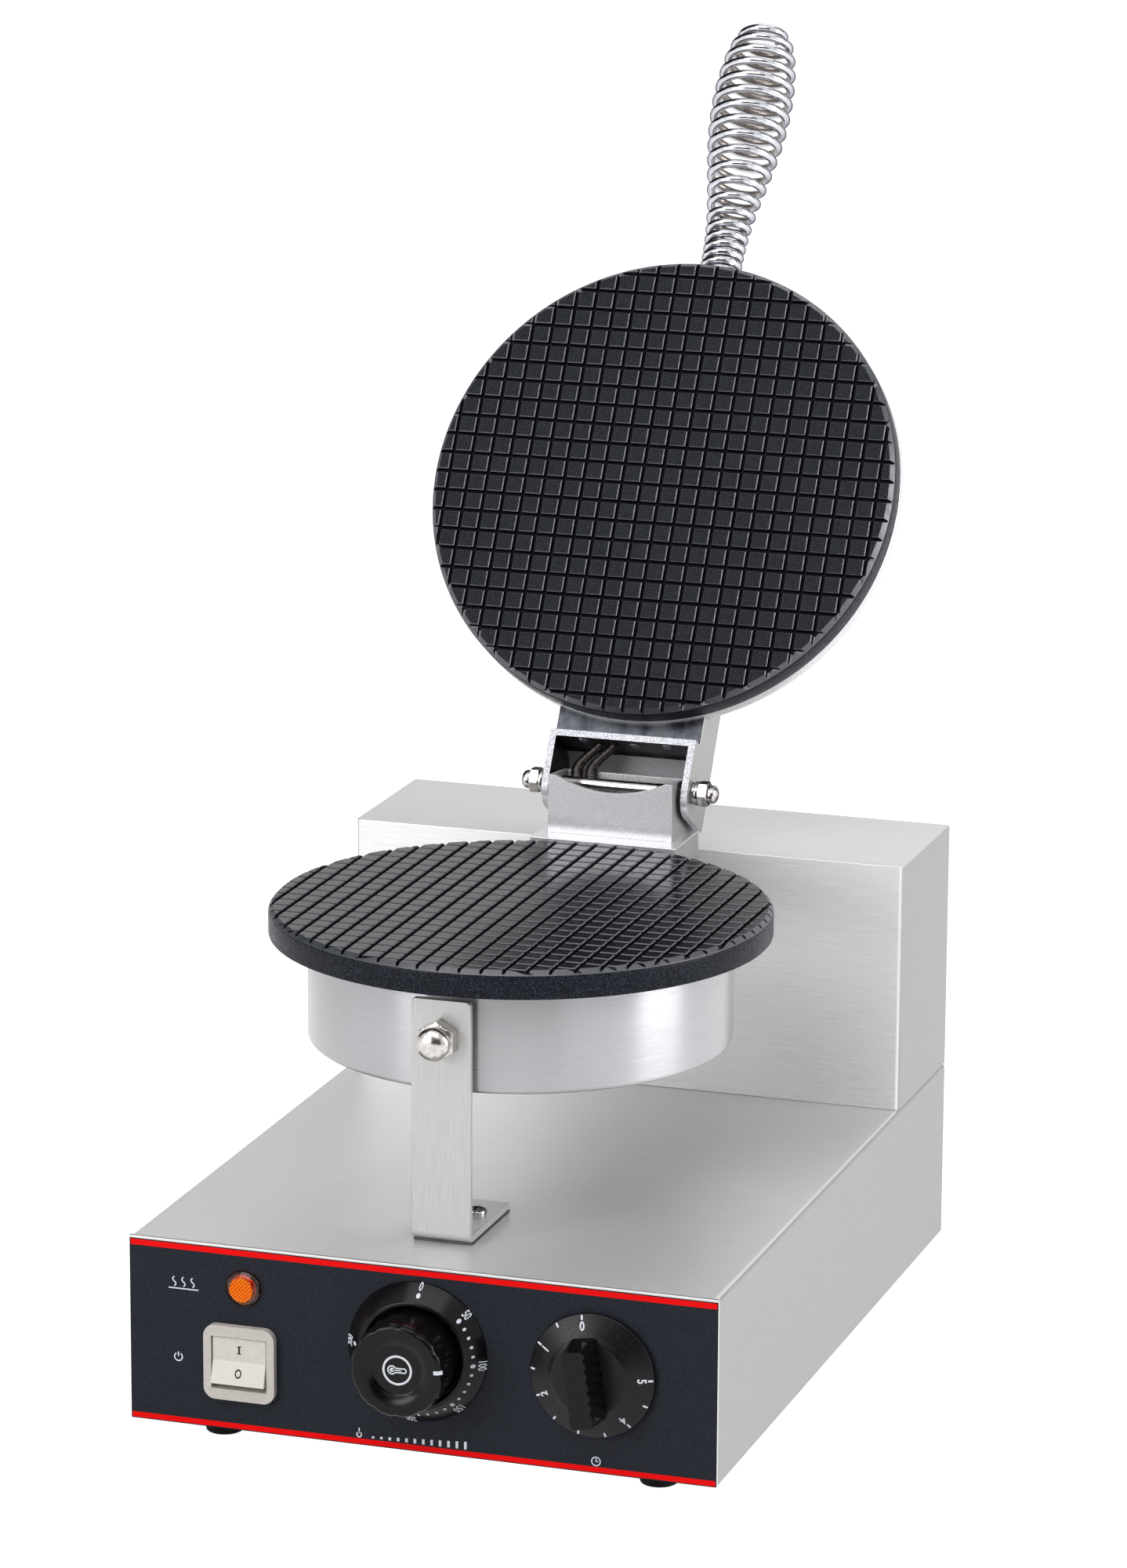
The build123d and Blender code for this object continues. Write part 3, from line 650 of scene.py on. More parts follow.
# Tops, sides in the darker steel of painted shade, and fronts in the lighter steel of painted light.
shell_steels = (steel_across, steel_deep_shaded, steel_front_lit)
sheet_piece("base_shell", "base_housing", "base", "casing", shell_steels, sided, bevel=0.35)
sheet_piece("rear_shell", "rear_housing", "base", "casing", shell_steels, sided, bevel=0.35)
sheet_piece("rear_lid", "rear_cover", "base", "casing", steel_across, bevel=0.2)
sheet_piece("floor_pan", "bottom_plate", "base", "casing", steel_across, bevel=0.2)
sheet_piece("panel_plate", "control_panel", "base", "panel", (film, steel_across), front_only)

hem_height, hem_depth, hem_proud = 1.15, 1.0, 0.35
hem = prism(rectangle(2 * case_half, hem_height), -hem_depth, hem_proud)
hem_place = on_panel(0, case_top - hem_height / 2)
add("panel_hem", hem, steel_across, "base", "panel", place=hem_place, bevel=0.3)

print_thickness, print_root = 0.12, -0.05
stripe_length = 2 * case_half - 1.0
border_width = 0.45
stripe_rows = ((74.6, 77.0), (0.35, 2.6))
stripes, borders = [], []
for low, high in stripe_rows:
    stripe = rectangle(stripe_length, high - low, 0, (low + high) / 2)
    stripes.append(prism(stripe, print_root, print_thickness))
    for edge in (low - border_width / 2, high + border_width / 2):
        border = rectangle(stripe_length, border_width, 0, edge)
        borders.append(prism(border, print_root, print_thickness * 0.8))
add("panel_stripes", joined(stripes), red_print, "base", "panel", place=on_panel(0, case_bottom))
add("stripe_borders", joined(borders), dark_print, "base", "panel", place=on_panel(0, case_bottom))

foot_low, foot_high = span("rubber_feet")
foot_radius, foot_round = 9.0, 1.2
foot_profile = rounded([
    (0, 0),
    (foot_radius - foot_round, 0),
    (foot_radius - 0.1, foot_high.z),
    (0, foot_high.z),
], foot_round)
feet = []
for x in (foot_low.x + foot_radius, foot_high.x - foot_radius):
    for y in (foot_low.y + foot_radius, foot_high.y - foot_radius):
        feet.append(shifted(lathe(foot_profile, 48), x, y))
add("feet", joined(feet), rubber, "base", "rubber", "rubber_feet")

gland_low, gland_high = span("cable_gland")
gland_radius = (gland_high.z - gland_low.z) / 2
gland_length = gland_high.y - gland_low.y
gland_bore, gland_hex = 4.0, gland_length * 0.55
gland_cap = rounded([
    (gland_radius * 0.8, gland_hex),
    (gland_radius * 0.78, gland_length * 0.9),
    (gland_radius * 0.62, gland_length),
    (gland_bore, gland_length),
], 1.0)
gland_flats = gland_radius * 2 * math.cos(TAU / 12)
gland_profile = [(gland_bore, 0), *hexagon(gland_flats, 0, gland_hex), *gland_cap, (gland_bore, 1.0)]
gland = lathe(gland_profile, 72, closed=True)
gland_middle = (gland_low + gland_high) / 2
gland_place = at(gland_middle.x, gland_low.y, gland_middle.z) @ Matrix.Rotation(-math.pi / 2, 4, "X")
add("gland", gland, black_satin, "base", "black_plastic", "cable_gland", place=gland_place)

# ---- cooking plates and pans ----

WALL, SQUARE, WORN, GROOVE = range(4)


def plate_face(normal, spot):
    """Worn edges round the squares, and grooves between them that take a darker coating as painted shade."""
    if spot.xy.length > plate_radius - plate_chamfer or normal.z < -0.5:
        return WORN if normal.z > 0.4 else WALL
    if normal.z > 0.98 and spot.z > -0.05:
        return SQUARE
    return WORN if spot.z > -edge_round and normal.z > 0.4 else GROOVE


def grooved_plate():
    """Round plate with its cooking side at height 0 and crossed grooves that run out at the rim."""
    half, bed = groove_width / 2, groove_bed / 2
    section = [
        (-half - edge_round, 0),
        (-half, -edge_round),
        (-bed, -groove_depth),
        (bed, -groove_depth),
        (half, -edge_round),
        (half + edge_round, 0),
    ]
    middle_of_section = (len(section) - 1) / 2
    count = int(plate_radius / groove_pitch)
    reach = plate_radius + 2
    lines = [(-reach, 0.0, None)]
    for groove in range(-count, count + 1):
        for number, (offset, depth) in enumerate(section):
            lines.append((groove * groove_pitch + offset, depth, number - middle_of_section))
    lines.append((reach, 0.0, None))
    bm = bmesh.new()
    grid = [
        [bm.verts.new((x, y, min(down_x, down_y))) for y, down_y, _ in lines]
        for x, down_x, _ in lines
    ]
    for i in range(len(lines) - 1):
        for j in range(len(lines) - 1):
            a, b, c, d = grid[i][j], grid[i + 1][j], grid[i + 1][j + 1], grid[i][j + 1]
            steps_x = (lines[i][2], lines[i + 1][2])
            steps_y = (lines[j][2], lines[j + 1][2])
            within = None not in steps_x + steps_y
            if within and steps_x[1] - steps_x[0] == 1 and steps_y[1] - steps_y[0] == 1:
                if steps_x == steps_y:
                    bm.faces.new((a, b, c))
                    bm.faces.new((a, c, d))
                    continue
                if steps_x[0] == -steps_y[1]:
                    bm.faces.new((a, b, d))
                    bm.faces.new((b, c, d))
                    continue
            bm.faces.new((a, b, c, d))
    edge = rounded([
        (plate_radius - plate_chamfer - 1, 1),
        (plate_radius, -plate_chamfer),
        (plate_radius, -plate_thickness),
        (plate_radius - 2, -plate_thickness),
    ], 0.8, 3)
    blank = lathe([(0, 1), *edge, (0, -plate_thickness)], 192)
    block = closed_down(bm, -plate_thickness - 1)
    return painted(combine("plate", block, blank, "INTERSECT"), plate_face)


lower_face = at(0, plate_y, plate_top)
upper_face = in_lid(0, plate_reach, face_offset)
grids = [grooved_plate()]
grids.append(grids[0].copy())
for grid_mesh, name, squares, place, body, node in (
    (grids[0], "lower_griddle", coating_oiled, lower_face, "base", "lower_plate"),
    (grids[1], "upper_griddle", coating, upper_face, "lid", "upper_plate"),
):
    finishes = (coating, squares, coating_edge, coating_groove_shade)
    add(name, grid_mesh, finishes, body, "coated_plate", node, place=place, angle=20)

pan_floor = -pan_depth + 1.2    # the middle is pressed in
pan_profile = [(0, 0), *rounded([
    (pan_radius - 3, 0),
    (pan_radius, -0.1),
    (pan_radius, -pan_depth + 0.1),
    (pan_radius - 12, -pan_depth),
    (pan_radius - 16, pan_floor),
    (pan_radius - 30, pan_floor),
], 2.2), (0, pan_floor)]
pan_back = at(0, 0, -plate_thickness)
for name, place, body, node in (
    ("lower_shell", lower_face @ pan_back, "base", "lower_pan"),
    ("upper_shell", upper_face @ pan_back, "lid", "upper_pan"),
):
    add(name, lathe(pan_profile, 160), steel_round, body, "pan_steel", node, place=place)

rim_profile = rounded_loop([
    (pan_radius, 0),
    (rim_radius, 0),
    (rim_radius, -rim_thickness),
    (pan_radius, -rim_thickness),
], 0.6)
rim = lathe(rim_profile, 192, closed=True)
add("upper_rim", rim, sheet_bright, "lid", "pan_steel", place=upper_face @ pan_back)

# ---- front support ----

sheet_piece("support_angle", "support_strip", "base", "bracket_steel", steel_upright, bevel=0.5)
# Painted shade: the shim takes the darker copy of the bracket sheet.
sheet_piece("support_shim", "support_pad", "base", "bracket_steel", sheet_painted_shade, bevel=0.2)


def dome(radius, low, high, steps=10):
    """Lathe rings of a rounded cap that closes at the axis."""
    rings = []
    for step in range(1, steps + 1):
        turn = math.pi / 2 * step / steps
        reach = radius * math.cos(turn)
        rings.append((reach if step < steps else 0.0, low + (high - low) * math.sin(turn)))
    return rings


def washer(radius, bore, low, high):
    section = [(bore, low), (radius, low), (radius, high), (bore, high)]
    return lathe(rounded_loop(section, 0.3, 2), 48, closed=True)


def acorn(flats, hex_low, hex_high, dome_radius, top):
    """Domed nut on local Z with its hexagon between two heights."""
    cap_start = hex_high + (top - hex_high) * 0.42
    collar = [(dome_radius * 0.98, hex_high), (dome_radius, hex_high + 0.4), (dome_radius, cap_start)]
    cap = dome(dome_radius, cap_start, top)
    return lathe([(0, hex_low), *hexagon(flats, hex_low, hex_high), *collar, *cap], 72)


support_flats, support_dome = 14.6, 6.9
nut_low, nut_high = span("support_nut")
nut_middle = (nut_low + nut_high) / 2
nut_proud = nut_high.y - nut_low.y
support_nut = acorn(support_flats, 0, nut_proud * 0.48, support_dome, nut_proud)
nut_place = at(nut_middle.x, nut_high.y, nut_middle.z) @ FACING_FRONT
add(
    "support_acorn", support_nut, plated_satin, "base", "plated_hardware", "support_nut",
    place=nut_place,
)
sheet_piece("support_stud", "support_bolt", "base", "plated_hardware", plated, bevel=0.2)


def screw_head(radius, height):
    """Pan head with a cross recess, on local Z."""
    head = lathe([(0, 0), (radius, 0), (radius, height * 0.35), *dome(radius, height * 0.35, height, 6)], 48)
    slot_width, slot_length = radius * 0.24, radius * 1.2
    for length, width in ((slot_length, slot_width), (slot_width, slot_length)):
        slot = prism(rectangle(length, width), height * 0.45, height + 1)
        head = combine("head", head, slot, "DIFFERENCE")
    return head


screw_radius, screw_height = 4.2, 2.2
strip_thickness, screw_offset = 3.0, 4.0
strip_low, strip_middle = span("support_strip")[0], middle("support_strip")
screws = []
for run in (15.0, 33.0):
    screw_at = (strip_middle.x + screw_offset, strip_low.y + run, strip_low.z + strip_thickness)
    screws.append(shifted(screw_head(screw_radius, screw_height), *screw_at))
add("support_screws", joined(screws), plated, "base", "plated_hardware", angle=30)

# ---- hinge ----

# The sides of the hinge's shelf and channel take the darker steel of painted shade.
arm_finishes = (sheet_bright, steel_deep_shaded, sheet_bright)
sheet_piece("hinge_shelf", "hinge_arm", "base", "bracket_steel", arm_finishes, sided, bevel=0.5)
tray = solid_of("hinge_tray")
for vert in tray.verts:
    if vert.co.y > hinge.y + tray_back - tray_sheet - 0.5 and vert.co.z > hinge.z:
        vert.co.z -= rear_wall_drop
painted(tray, sided)
add("hinge_channel", tray, arm_finishes, "base", "bracket_steel", "hinge_tray", bevel=0.4)

# DARK and UNDER faces take painted shade, and SIDE faces the darker side steel of painted shade.
SHEET, EDGE, DARK, UNDER, SIDE = range(5)


def channel_face(normal, spot):
    """Sheared front edges; painted shade on the cheeks' inner faces and the flange's underside, the darker side
    steel of painted shade on the outer faces, and bright sheet elsewhere.
    """
    if normal.z > SQUARELY:
        return EDGE if spot.z > 0 else SHEET
    if abs(normal.x) > SQUARELY:
        return DARK if normal.x * spot.x < 0 else SIDE
    return UNDER if normal.y < -SQUARELY and spot.y > 0 else SHEET


def web_face(normal, _):
    """1 for the web's face towards the plates, darkened as painted shade, 2 for its sides, which take the darker
    side steel of painted shade, and 0 elsewhere.
    """
    if normal.z > SQUARELY:
        return 1
    return 2 if abs(normal.x) > SQUARELY else 0


lid_frame = in_lid()
flange_under = flange_reach - cheek_thickness
wall_front = cheek_thickness - cheek_back
bend_middle = (-wall_front - bend_radius, flange_under - bend_radius)
bend_section = [(-wall_front + 0.5, flange_under + 0.5), *arc(bend_radius, 0, 90, 12, *bend_middle)]
cheek_face = span("lid_bracket")[1].x
bend_half = cheek_face - cheek_thickness + 0.3
inner_bend = moved(prism(bend_section, -bend_half, bend_half), FACING_RIGHT)
channel = painted(joined([solid_of("lid_bracket", lid_frame), inner_bend]), channel_face)
channel_finishes = (sheet_bright, zinc_edges, cheek_painted_shade, sheet_painted_shade, steel_deep_shaded)
add(
    "lid_channel", channel, channel_finishes, "lid", "bracket_steel", "lid_bracket",
    place=lid_frame, bevel=0.5,
)
sheet_piece(
    "lid_web", "lid_saddle", "lid", "bracket_steel", (sheet_bright, web_painted_shade, steel_deep_shaded), web_face,
    lid_frame, bevel=0.5,
)

weld_profile = [(0, 0.2), (2.6, 0.2), (2.4, -0.35), (1.5, -0.7), (0, -0.85)]
weld_spots = ((-19.0, 4.0), (4.0, 2.0), (19.5, 4.5))    # across and towards the cooking side
hanging = Matrix.Rotation(-math.pi / 2, 4, "X")
welds = [
    shifted(moved(lathe(weld_profile, 32), hanging), across, flange_under, towards)
    for across, towards in weld_spots
]
add("flange_welds", joined(welds), zinc_edges, "lid", "bracket_steel", place=lid_frame, angle=60)

thread_pitch, thread_depth = 1.0, 0.35
stud_inner = cheek_face - cheek_thickness - stud_thread
stud_waist = stud_radius * 0.9
stud = lathe([
    (0, -cheek_face),
    *thread(stud_radius, -cheek_face, -stud_inner, thread_pitch, thread_depth),
    (stud_waist, -stud_inner),
    (stud_waist, stud_inner),
    *thread(stud_radius, stud_inner, cheek_face, thread_pitch, thread_depth),
    (0, cheek_face),
], 32)
stud_place = at(*hinge) @ Matrix.Rotation(math.pi / 2, 4, "Y")
add("hinge_rod", stud, plated, "lid", "plated_hardware", "hinge_stud", place=stud_place, angle=50)

nut_reach = span("hinge_nuts")[1].x - cheek_face
spring_radius, flat_radius, washer_bore = 4.6, 5.2, 3.1
spring_washer, flat_washer, hex_end = 1.4, 3.0, 7.4     # heights of the stack over the cheek
nut_flats, nut_dome = 10.0, 4.0
nuts = []
for side in (1, -1):
    stack = joined([
        washer(spring_radius, washer_bore, 0, spring_washer),
        washer(flat_radius, washer_bore, spring_washer, flat_washer),
        acorn(nut_flats, flat_washer, hex_end, nut_dome, nut_reach),
    ])
    outwards = Matrix.Rotation(side * math.pi / 2, 4, "Y")
    nuts.append(moved(shifted(stack, z=cheek_face), outwards))
add("hinge_acorns", joined(nuts), plated, "lid", "plated_hardware", "hinge_nuts", place=at(*hinge))

conduit_radius, conduit_width = 1.8, 1.55
conduit_sides, route_steps = 14, 150
rib_pitch, rib_depth = 0.72, 0.3
conduit_sway, sway_lead = 9.0, 1.3
conduit_rise, conduit_setback = 3.0, 1.0    # over the hinge axis, and behind it in the lid
conduit_y = hinge.y + stud_radius + 0.1 + conduit_radius
lid_up = (lid_frame.to_3x3() @ Vector((0, 1, 0))).normalized()
lid_out = (lid_frame.to_3x3() @ Vector((0, 0, 1))).normalized()
for number, low_x in enumerate((-21.5, -15.0)):
    foot = Vector((low_x, conduit_y, span("conduits")[0].z))
    bend = Vector((low_x, conduit_y, hinge.z + conduit_rise))
    swayed = Vector((low_x + conduit_sway, 0, 0))
    head = hinge + lid_up * flange_under - lid_out * conduit_setback + swayed
    pull = (head - bend).length / 3
    before_head = head - lid_up * pull - Vector((conduit_sway * sway_lead / 3, 0, 0))
    route = [foot.lerp(bend, step / route_steps) for step in range(route_steps)]
    route += interpolate_bezier(bend, bend + Vector((0, 0, pull)), before_head, head, route_steps + 1)
    runs = [0.0]
    for before, after in zip(route, route[1:]):
        runs.append(runs[-1] + (after - before).length)

    def ribbed(index, runs=runs):
        return conduit_radius - rib_depth * (1 + math.cos(TAU * runs[index] / rib_pitch)) / 2

    sleeve = tube(route, ribbed, conduit_sides)
    for index, vert in enumerate(sleeve.verts):
        middle_x = route[index // conduit_sides].x
        vert.co.x = middle_x + (vert.co.x - middle_x) * conduit_width
    conduit = make(f"conduit_{number}", sleeve, sleeve_metal, angle=80)
    if number == 0:
        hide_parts("conduits")
    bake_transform(conduit)

# ---- handle ----

handle_turn = Matrix.Rotation(-math.pi / 2 - handle_lean, 4, "X")
handle_place = in_lid(0, plate_reach + pan_radius, face_offset - handle_depth) @ handle_turn


def eased(share):
    """Runs from 0 to 1 with level ends."""
    return (1 - math.cos(math.pi * min(max(share, 0), 1))) / 2


def coil_radius(run):
    """Outside radius of the spring at a distance from the pan's wall."""
    if run < belly_at:
        return neck_radius + (belly_radius - neck_radius) * eased((run - neck_end) / (belly_at - neck_end))
    share = (run - belly_at) / (coil_end - belly_at)
    return tip_radius + (belly_radius - tip_radius) * math.sqrt(max(1 - share**2, 0))


def coil_pitch(run):
    """Rise of one turn of the spring at a distance from the pan's wall."""
    opened = eased((run - neck_end) / pitch_rise)
    closed = eased((run - coil_end + pitch_fall) / pitch_fall)
    return neck_pitch + (belly_pitch - neck_pitch) * opened + (tip_pitch - belly_pitch) * closed


handle_place_mm = Matrix.Scale(1 / MM, 4) @ handle_place @ Matrix.Scale(MM, 4)
wire = []
run, turn = coil_start, 0.0
while run < coil_end:
    reach = coil_radius(run) - wire_radius
    wire.append(Vector((reach * math.cos(turn), reach * math.sin(turn), run)))
    run += coil_pitch(run) / turn_steps
    turn += TAU / turn_steps
coil = tube(wire, lambda index: wire_radius, 16)
# Painted shade: faces of the wire that look towards the coil's axis take the darker chrome.
for face in coil.faces:
    spot = face.calc_center_median()
    inner_reach = coil_radius(spot.z) - wire_radius * 1.35
    face.material_index = 1 if math.hypot(spot.x, spot.y) < inner_reach else 0
coil = moved(coil, handle_place_mm)
add("handle_coil", coil, (chrome, chrome_inside_shade), "lid", "chrome", "handle_spring", angle=60)

seat_flats, seat_foot, seat_top = 17.0, 0.5, 8.0
bolt_radius, bolt_tip_radius, bolt_end = 5.4, 4.4, 30.0
seat_pitch, seat_depth = 1.5, 0.7
handle_seat = lathe([
    (0, 0),
    *hexagon(seat_flats, seat_foot, seat_top),
    (bolt_radius, seat_top),
    *thread(bolt_radius, seat_top + 0.2, bolt_end - 0.5, seat_pitch, seat_depth),
    (bolt_tip_radius, bolt_end),
    (0, bolt_end),
], 60)
add(
    "handle_bolt", handle_seat, plated, "lid", "plated_hardware", "handle_stud",
    place=handle_place, angle=50,
)

# ---- controls: lamp and switch ----

lamp_radius, lamp_proud, lamp_place = control("lamp_lens")
lens_radius = lamp_radius * 0.66
ring = lathe(rounded_loop([
    (lens_radius, 0),
    (lamp_radius, 0),
    (lamp_radius, 1.2),
    (lamp_radius - 0.9, 2.0),
    (lens_radius + 0.2, lamp_proud * 0.72),
    (lens_radius - 0.4, lamp_proud * 0.6),
], 0.5), 64, closed=True)
add("lamp_ring", ring, amber_clear, "base", "lamp_amber", "lamp_lens", place=lamp_place)


def studded_lens(radius, height, pitch=1.6, relief=0.6):
    """Lens whose face is cut into small pyramids."""
    steps = int(radius / (pitch / 2))
    bm = bmesh.new()
    grid = {}
    for i in range(-steps - 1, steps + 2):
        for j in range(-steps - 1, steps + 2):
            raised = relief if (i + j) % 2 == 0 else 0.0
            grid[i, j] = bm.verts.new((i * pitch / 2, j * pitch / 2, height - relief + raised))
    for i in range(-steps - 1, steps + 1):
        for j in range(-steps - 1, steps + 1):
            corners = [grid[i, j], grid[i + 1, j], grid[i + 1, j + 1], grid[i, j + 1]]
            if (i + j) % 2 == 0:
                corners = corners[1:] + corners[:1]
            bm.faces.new((corners[0], corners[1], corners[2]))
            bm.faces.new((corners[0], corners[2], corners[3]))
    edge = [(radius, 0.2), (radius, height - 0.6), (radius - 0.5, height + 1)]
    blank = lathe([(0, 0.2), *edge, (0, height + 1)], 48)
    return combine("lens", closed_down(bm, 0), blank, "INTERSECT")


def stud_face(normal, _):
    """Painted shade: darker amber on the side of each stud that looks down and right."""
    return 1 if normal.x - normal.y > 0.25 else 0


studs = painted(studded_lens(lens_radius + 0.1, lamp_proud - 0.5), stud_face)
add("lamp_disc", studs, (amber, amber_painted_shade), "base", "lamp_amber", place=lamp_place, angle=10)

for name, body, slot, finish, node, bevel in (
    ("switch_bezel", "base", "switch_plastic", warm_grey, "switch_frame", 0.7),
    ("rocker_key", "power_rocker", "rocker_plastic", ivory, "power_rocker", 0.6),
):
    sheet_piece(name, node, body, slot, finish, bevel=bevel, segments=4)

switch = middle("switch_frame")
rocker_turn = Matrix.Rotation(-rocker_angle, 4, "X")
rocker_pivot = at(switch.x, front_y + rocker_pivot_depth, switch.z)
face_slope = math.atan2(rocker_rise - rocker_crease, rocker_half)


def on_rocker(height):
    """Stands on the rocker's face at a height above or below its crease."""
    depth = rocker_crease + abs(height) * math.tan(face_slope)
    lean = face_slope if height > 0 else -face_slope
    stand = Matrix.Rotation(lean, 4, "X")
    return rocker_pivot @ rocker_turn @ at(0, -depth, height) @ stand @ FACING_FRONT


mark_rise, mark_root, mark_proud = 4.9, -0.1, 0.1
on_bars = [rectangle(0.75, 3.2), rectangle(1.7, 0.4, 0, 1.5), rectangle(1.7, 0.4, 0, -1.5)]
on_mark = joined([prism(outline, mark_root, mark_proud) for outline in on_bars])
off_mark = stroke(disc(1.45), 0.6, mark_root, mark_proud, closed=True)
off_mark = moved(off_mark, Matrix.Diagonal((0.8, 1.1, 1, 1)))
for name, mark, height in (("mark_on", on_mark, mark_rise), ("mark_off", off_mark, -mark_rise)):
    add(name, mark, dark_print, "power_rocker", "rocker_plastic", place=on_rocker(height))

# ---- controls: temperature dial ----

bezel_radius, _, dial_place = control("dial_bezel")
bezel_edge, bezel_shoulder = 0.7, bezel_top_radius + 0.3
bezel = lathe(rounded_loop([
    (bezel_bore, 0),
    (bezel_radius, 0),
    (bezel_radius, bezel_edge),
    (bezel_shoulder, bezel_proud),
    (bezel_bore, bezel_proud),
], 0.6), 128, closed=True)
add("scale_ring", bezel, black_gloss, "base", "black_plastic", "dial_bezel", place=dial_place)

dot_radius, digit_radius, digit_height = 25.3, 28.2, 2.7
sweep_start, sweep_rate = 4.4, 0.9      # degrees, and degrees of turn per degree of heat


def bezel_height(radius):
    """Height of the ring's sloping face, which carries the scale."""
    slope = (bezel_proud - bezel_edge) / (bezel_radius - bezel_shoulder)
    return bezel_edge + (bezel_radius - radius) * slope


def draped(bm, surface):
    """Lays flat marks on a turned surface whose height depends on the radius."""
    for vert in bm.verts:
        vert.co.z += surface(math.hypot(vert.co.x, vert.co.y))
    return bm


def clockwise(bm, degrees):
    return moved(bm, Matrix.Rotation(-math.radians(degrees), 4, "Z"))


sunk = -0.15                # how deep a mark on a slope is rooted
digit_thickness = 0.25
scale = []
for degrees in [0, *range(50, 301, 10)]:
    major = degrees % 50 == 0
    angle = sweep_start + sweep_rate * degrees
    dot = disc(0.85 if major else 0.6, 20, 0, dot_radius)
    scale.append(clockwise(prism(dot, sunk, print_thickness), angle))
    if major:
        digits = letters(str(degrees), digit_height, digit_thickness)
        scale.append(clockwise(shifted(digits, 0, digit_radius), angle))
scale = draped(joined(scale), bezel_height)
add("scale_print", scale, white_print, "base", "black_plastic", place=dial_place)

knob_radius, knob_reach, knob_place = control("temperature_knob")
knob_proud = knob_reach - print_thickness       # under the pointer
flutes, flute_depth = 12, 0.55


def fluted(radius, depth):
    """Radius of the grip, as a function of the angle, with its flutes cut to a depth."""
    def reach(turn):
        wave = max(0.0, math.cos(turn * flutes)) ** 1.5
        return radius - depth * wave
    return reach


flutes_start, flutes_end = 6.0, knob_proud - 2.0    # heights on the grip's side
knob_profile = [(0, knob_gap), (knob_radius - 1.2, knob_gap), (knob_radius - 0.1, knob_gap + 1.0)]
for step in range(11):
    height = flutes_start + step * (flutes_end - flutes_start) / 10
    knob_profile.append((fluted(knob_radius, flute_depth * min(1.0, step / 3)), height))
for inset, share, down in ((0.15, 1.0, 1.3), (0.55, 0.9, 0.6), (1.2, 0.6, 0.15), (2.0, 0.2, 0.0)):
    knob_profile.append((fluted(knob_radius - inset, flute_depth * share), knob_proud - down))
recess_floor = knob_proud - 2.3
for radius, down in ((15.6, 0.15), (13.6, 0.55), (12.0, 1.15), (10.8, 1.9)):
    knob_profile.append((radius, knob_proud - down))
knob_profile += [(radius, recess_floor) for radius in (10.2, 10.0, 0)]
add(
    "temperature_grip", lathe(knob_profile, 240), black_gloss, "temperature_knob", "black_plastic",
    "temperature_knob", place=knob_place, angle=40,
)

mark_low, mark_high = recess_floor - 0.1, recess_floor + print_thickness
tube_end = arc(0.8, 90, -90, 10, x=2.6)
thermometer = [
    stroke(disc(5.2), 0.8, mark_low, mark_high, closed=True),
    stroke(arc(1.5, 32, 328, 24, x=-2.0), 0.5, mark_low, mark_high),
    stroke([(-0.75, 0.8), (2.6, 0.8), *tube_end, (2.6, -0.8), (-0.75, -0.8)], 0.45, mark_low, mark_high),
    prism(disc(0.8, 20, -2.0), mark_low, mark_high),
    prism(rectangle(3.6, 0.35, -0.2), mark_low, mark_high),
]
rim_round = 2.0


def knob_face(radius):
    """Height of the grip's face, which rounds off towards its rim."""
    return knob_proud - 0.28 * max(0.0, radius - knob_radius + rim_round) ** 2


pointer_width, pointer_length, pointer_lead = 1.6, 3.4, -5
pointer_line = [(knob_radius - pointer_length * (1 - s / 8), 0) for s in range(9)]
pointer = draped(stroke(pointer_line, pointer_width, -0.3, 0.08), knob_face)
sign = moved(joined(thermometer), Matrix.Diagonal((1.12, 1.12, 1, 1)))
knob_marks = joined([sign, clockwise(pointer, pointer_lead)])
add("knob_print", knob_marks, white_print, "temperature_knob", "black_plastic", place=knob_place)

# ---- controls: timer ----

timer_radius, timer_proud, timer_place = control("timer_knob")
timer_place @= Matrix.Rotation(math.radians(timer_rest), 4, "Z")
skirt_edge = 2.4
shoulder_inner = 15.4


def skirt_height(radius):
    """Height of the skirt's sloping face, which carries the minutes."""
    slope = (timer_shoulder - 1.2 - skirt_edge) / (timer_radius - timer_shoulder_radius)
    return skirt_edge + (timer_radius - radius) * slope


skirt = lathe([(0, knob_gap), *rounded([
    (timer_radius - 1, knob_gap),
    (timer_radius, knob_gap),
    (timer_radius, skirt_edge),
    (timer_shoulder_radius, skirt_height(timer_shoulder_radius)),
    (shoulder_inner, timer_shoulder),
    (shoulder_inner - 4, timer_shoulder),
], 0.8), (0, timer_shoulder)], 144)
grip_width, grip_length, grip_taper = 12.5, 35.0, 4.0
grip = prism(rounded_loop(rectangle(grip_width, grip_length), 2.2), timer_shoulder - 0.5, timer_proud)
for vert in grip.verts:
    height = timer_proud if vert.co.z > timer_shoulder else timer_shoulder
    inset = (height - knob_gap) * math.tan(math.radians(grip_taper))
    vert.co.x -= math.copysign(inset, vert.co.x)
    vert.co.y -= math.copysign(inset, vert.co.y)
rib_count, rib_step, rib_lean = 7, 4.4, -22.0
cut_width, cut_length, cut_side, cut_offset = 2.2, 1.5, 6.3, -3.0
for side in (-1, 1):
    for rib in range(rib_count):
        cutter = prism(rectangle(cut_width, cut_length), 0, timer_proud + 6)
        along = (rib - (rib_count - 1) / 2) * rib_step + cut_offset
        cutter_place = (
            Matrix.Translation((side * cut_side, along, timer_shoulder - 1))
            @ Matrix.Rotation(math.radians(-grip_taper * side), 4, "Y")
            @ Matrix.Rotation(math.radians(rib_lean), 4, "X")
        )
        grip = combine("grip", grip, moved(cutter, cutter_place), "DIFFERENCE")
add(
    "timer_skirt", skirt, black_satin, "timer_knob", "black_plastic", "timer_knob",
    place=timer_place,
)
add("timer_grip", grip, black_shiny, "timer_knob", "black_plastic", place=timer_place, bevel=0.8)

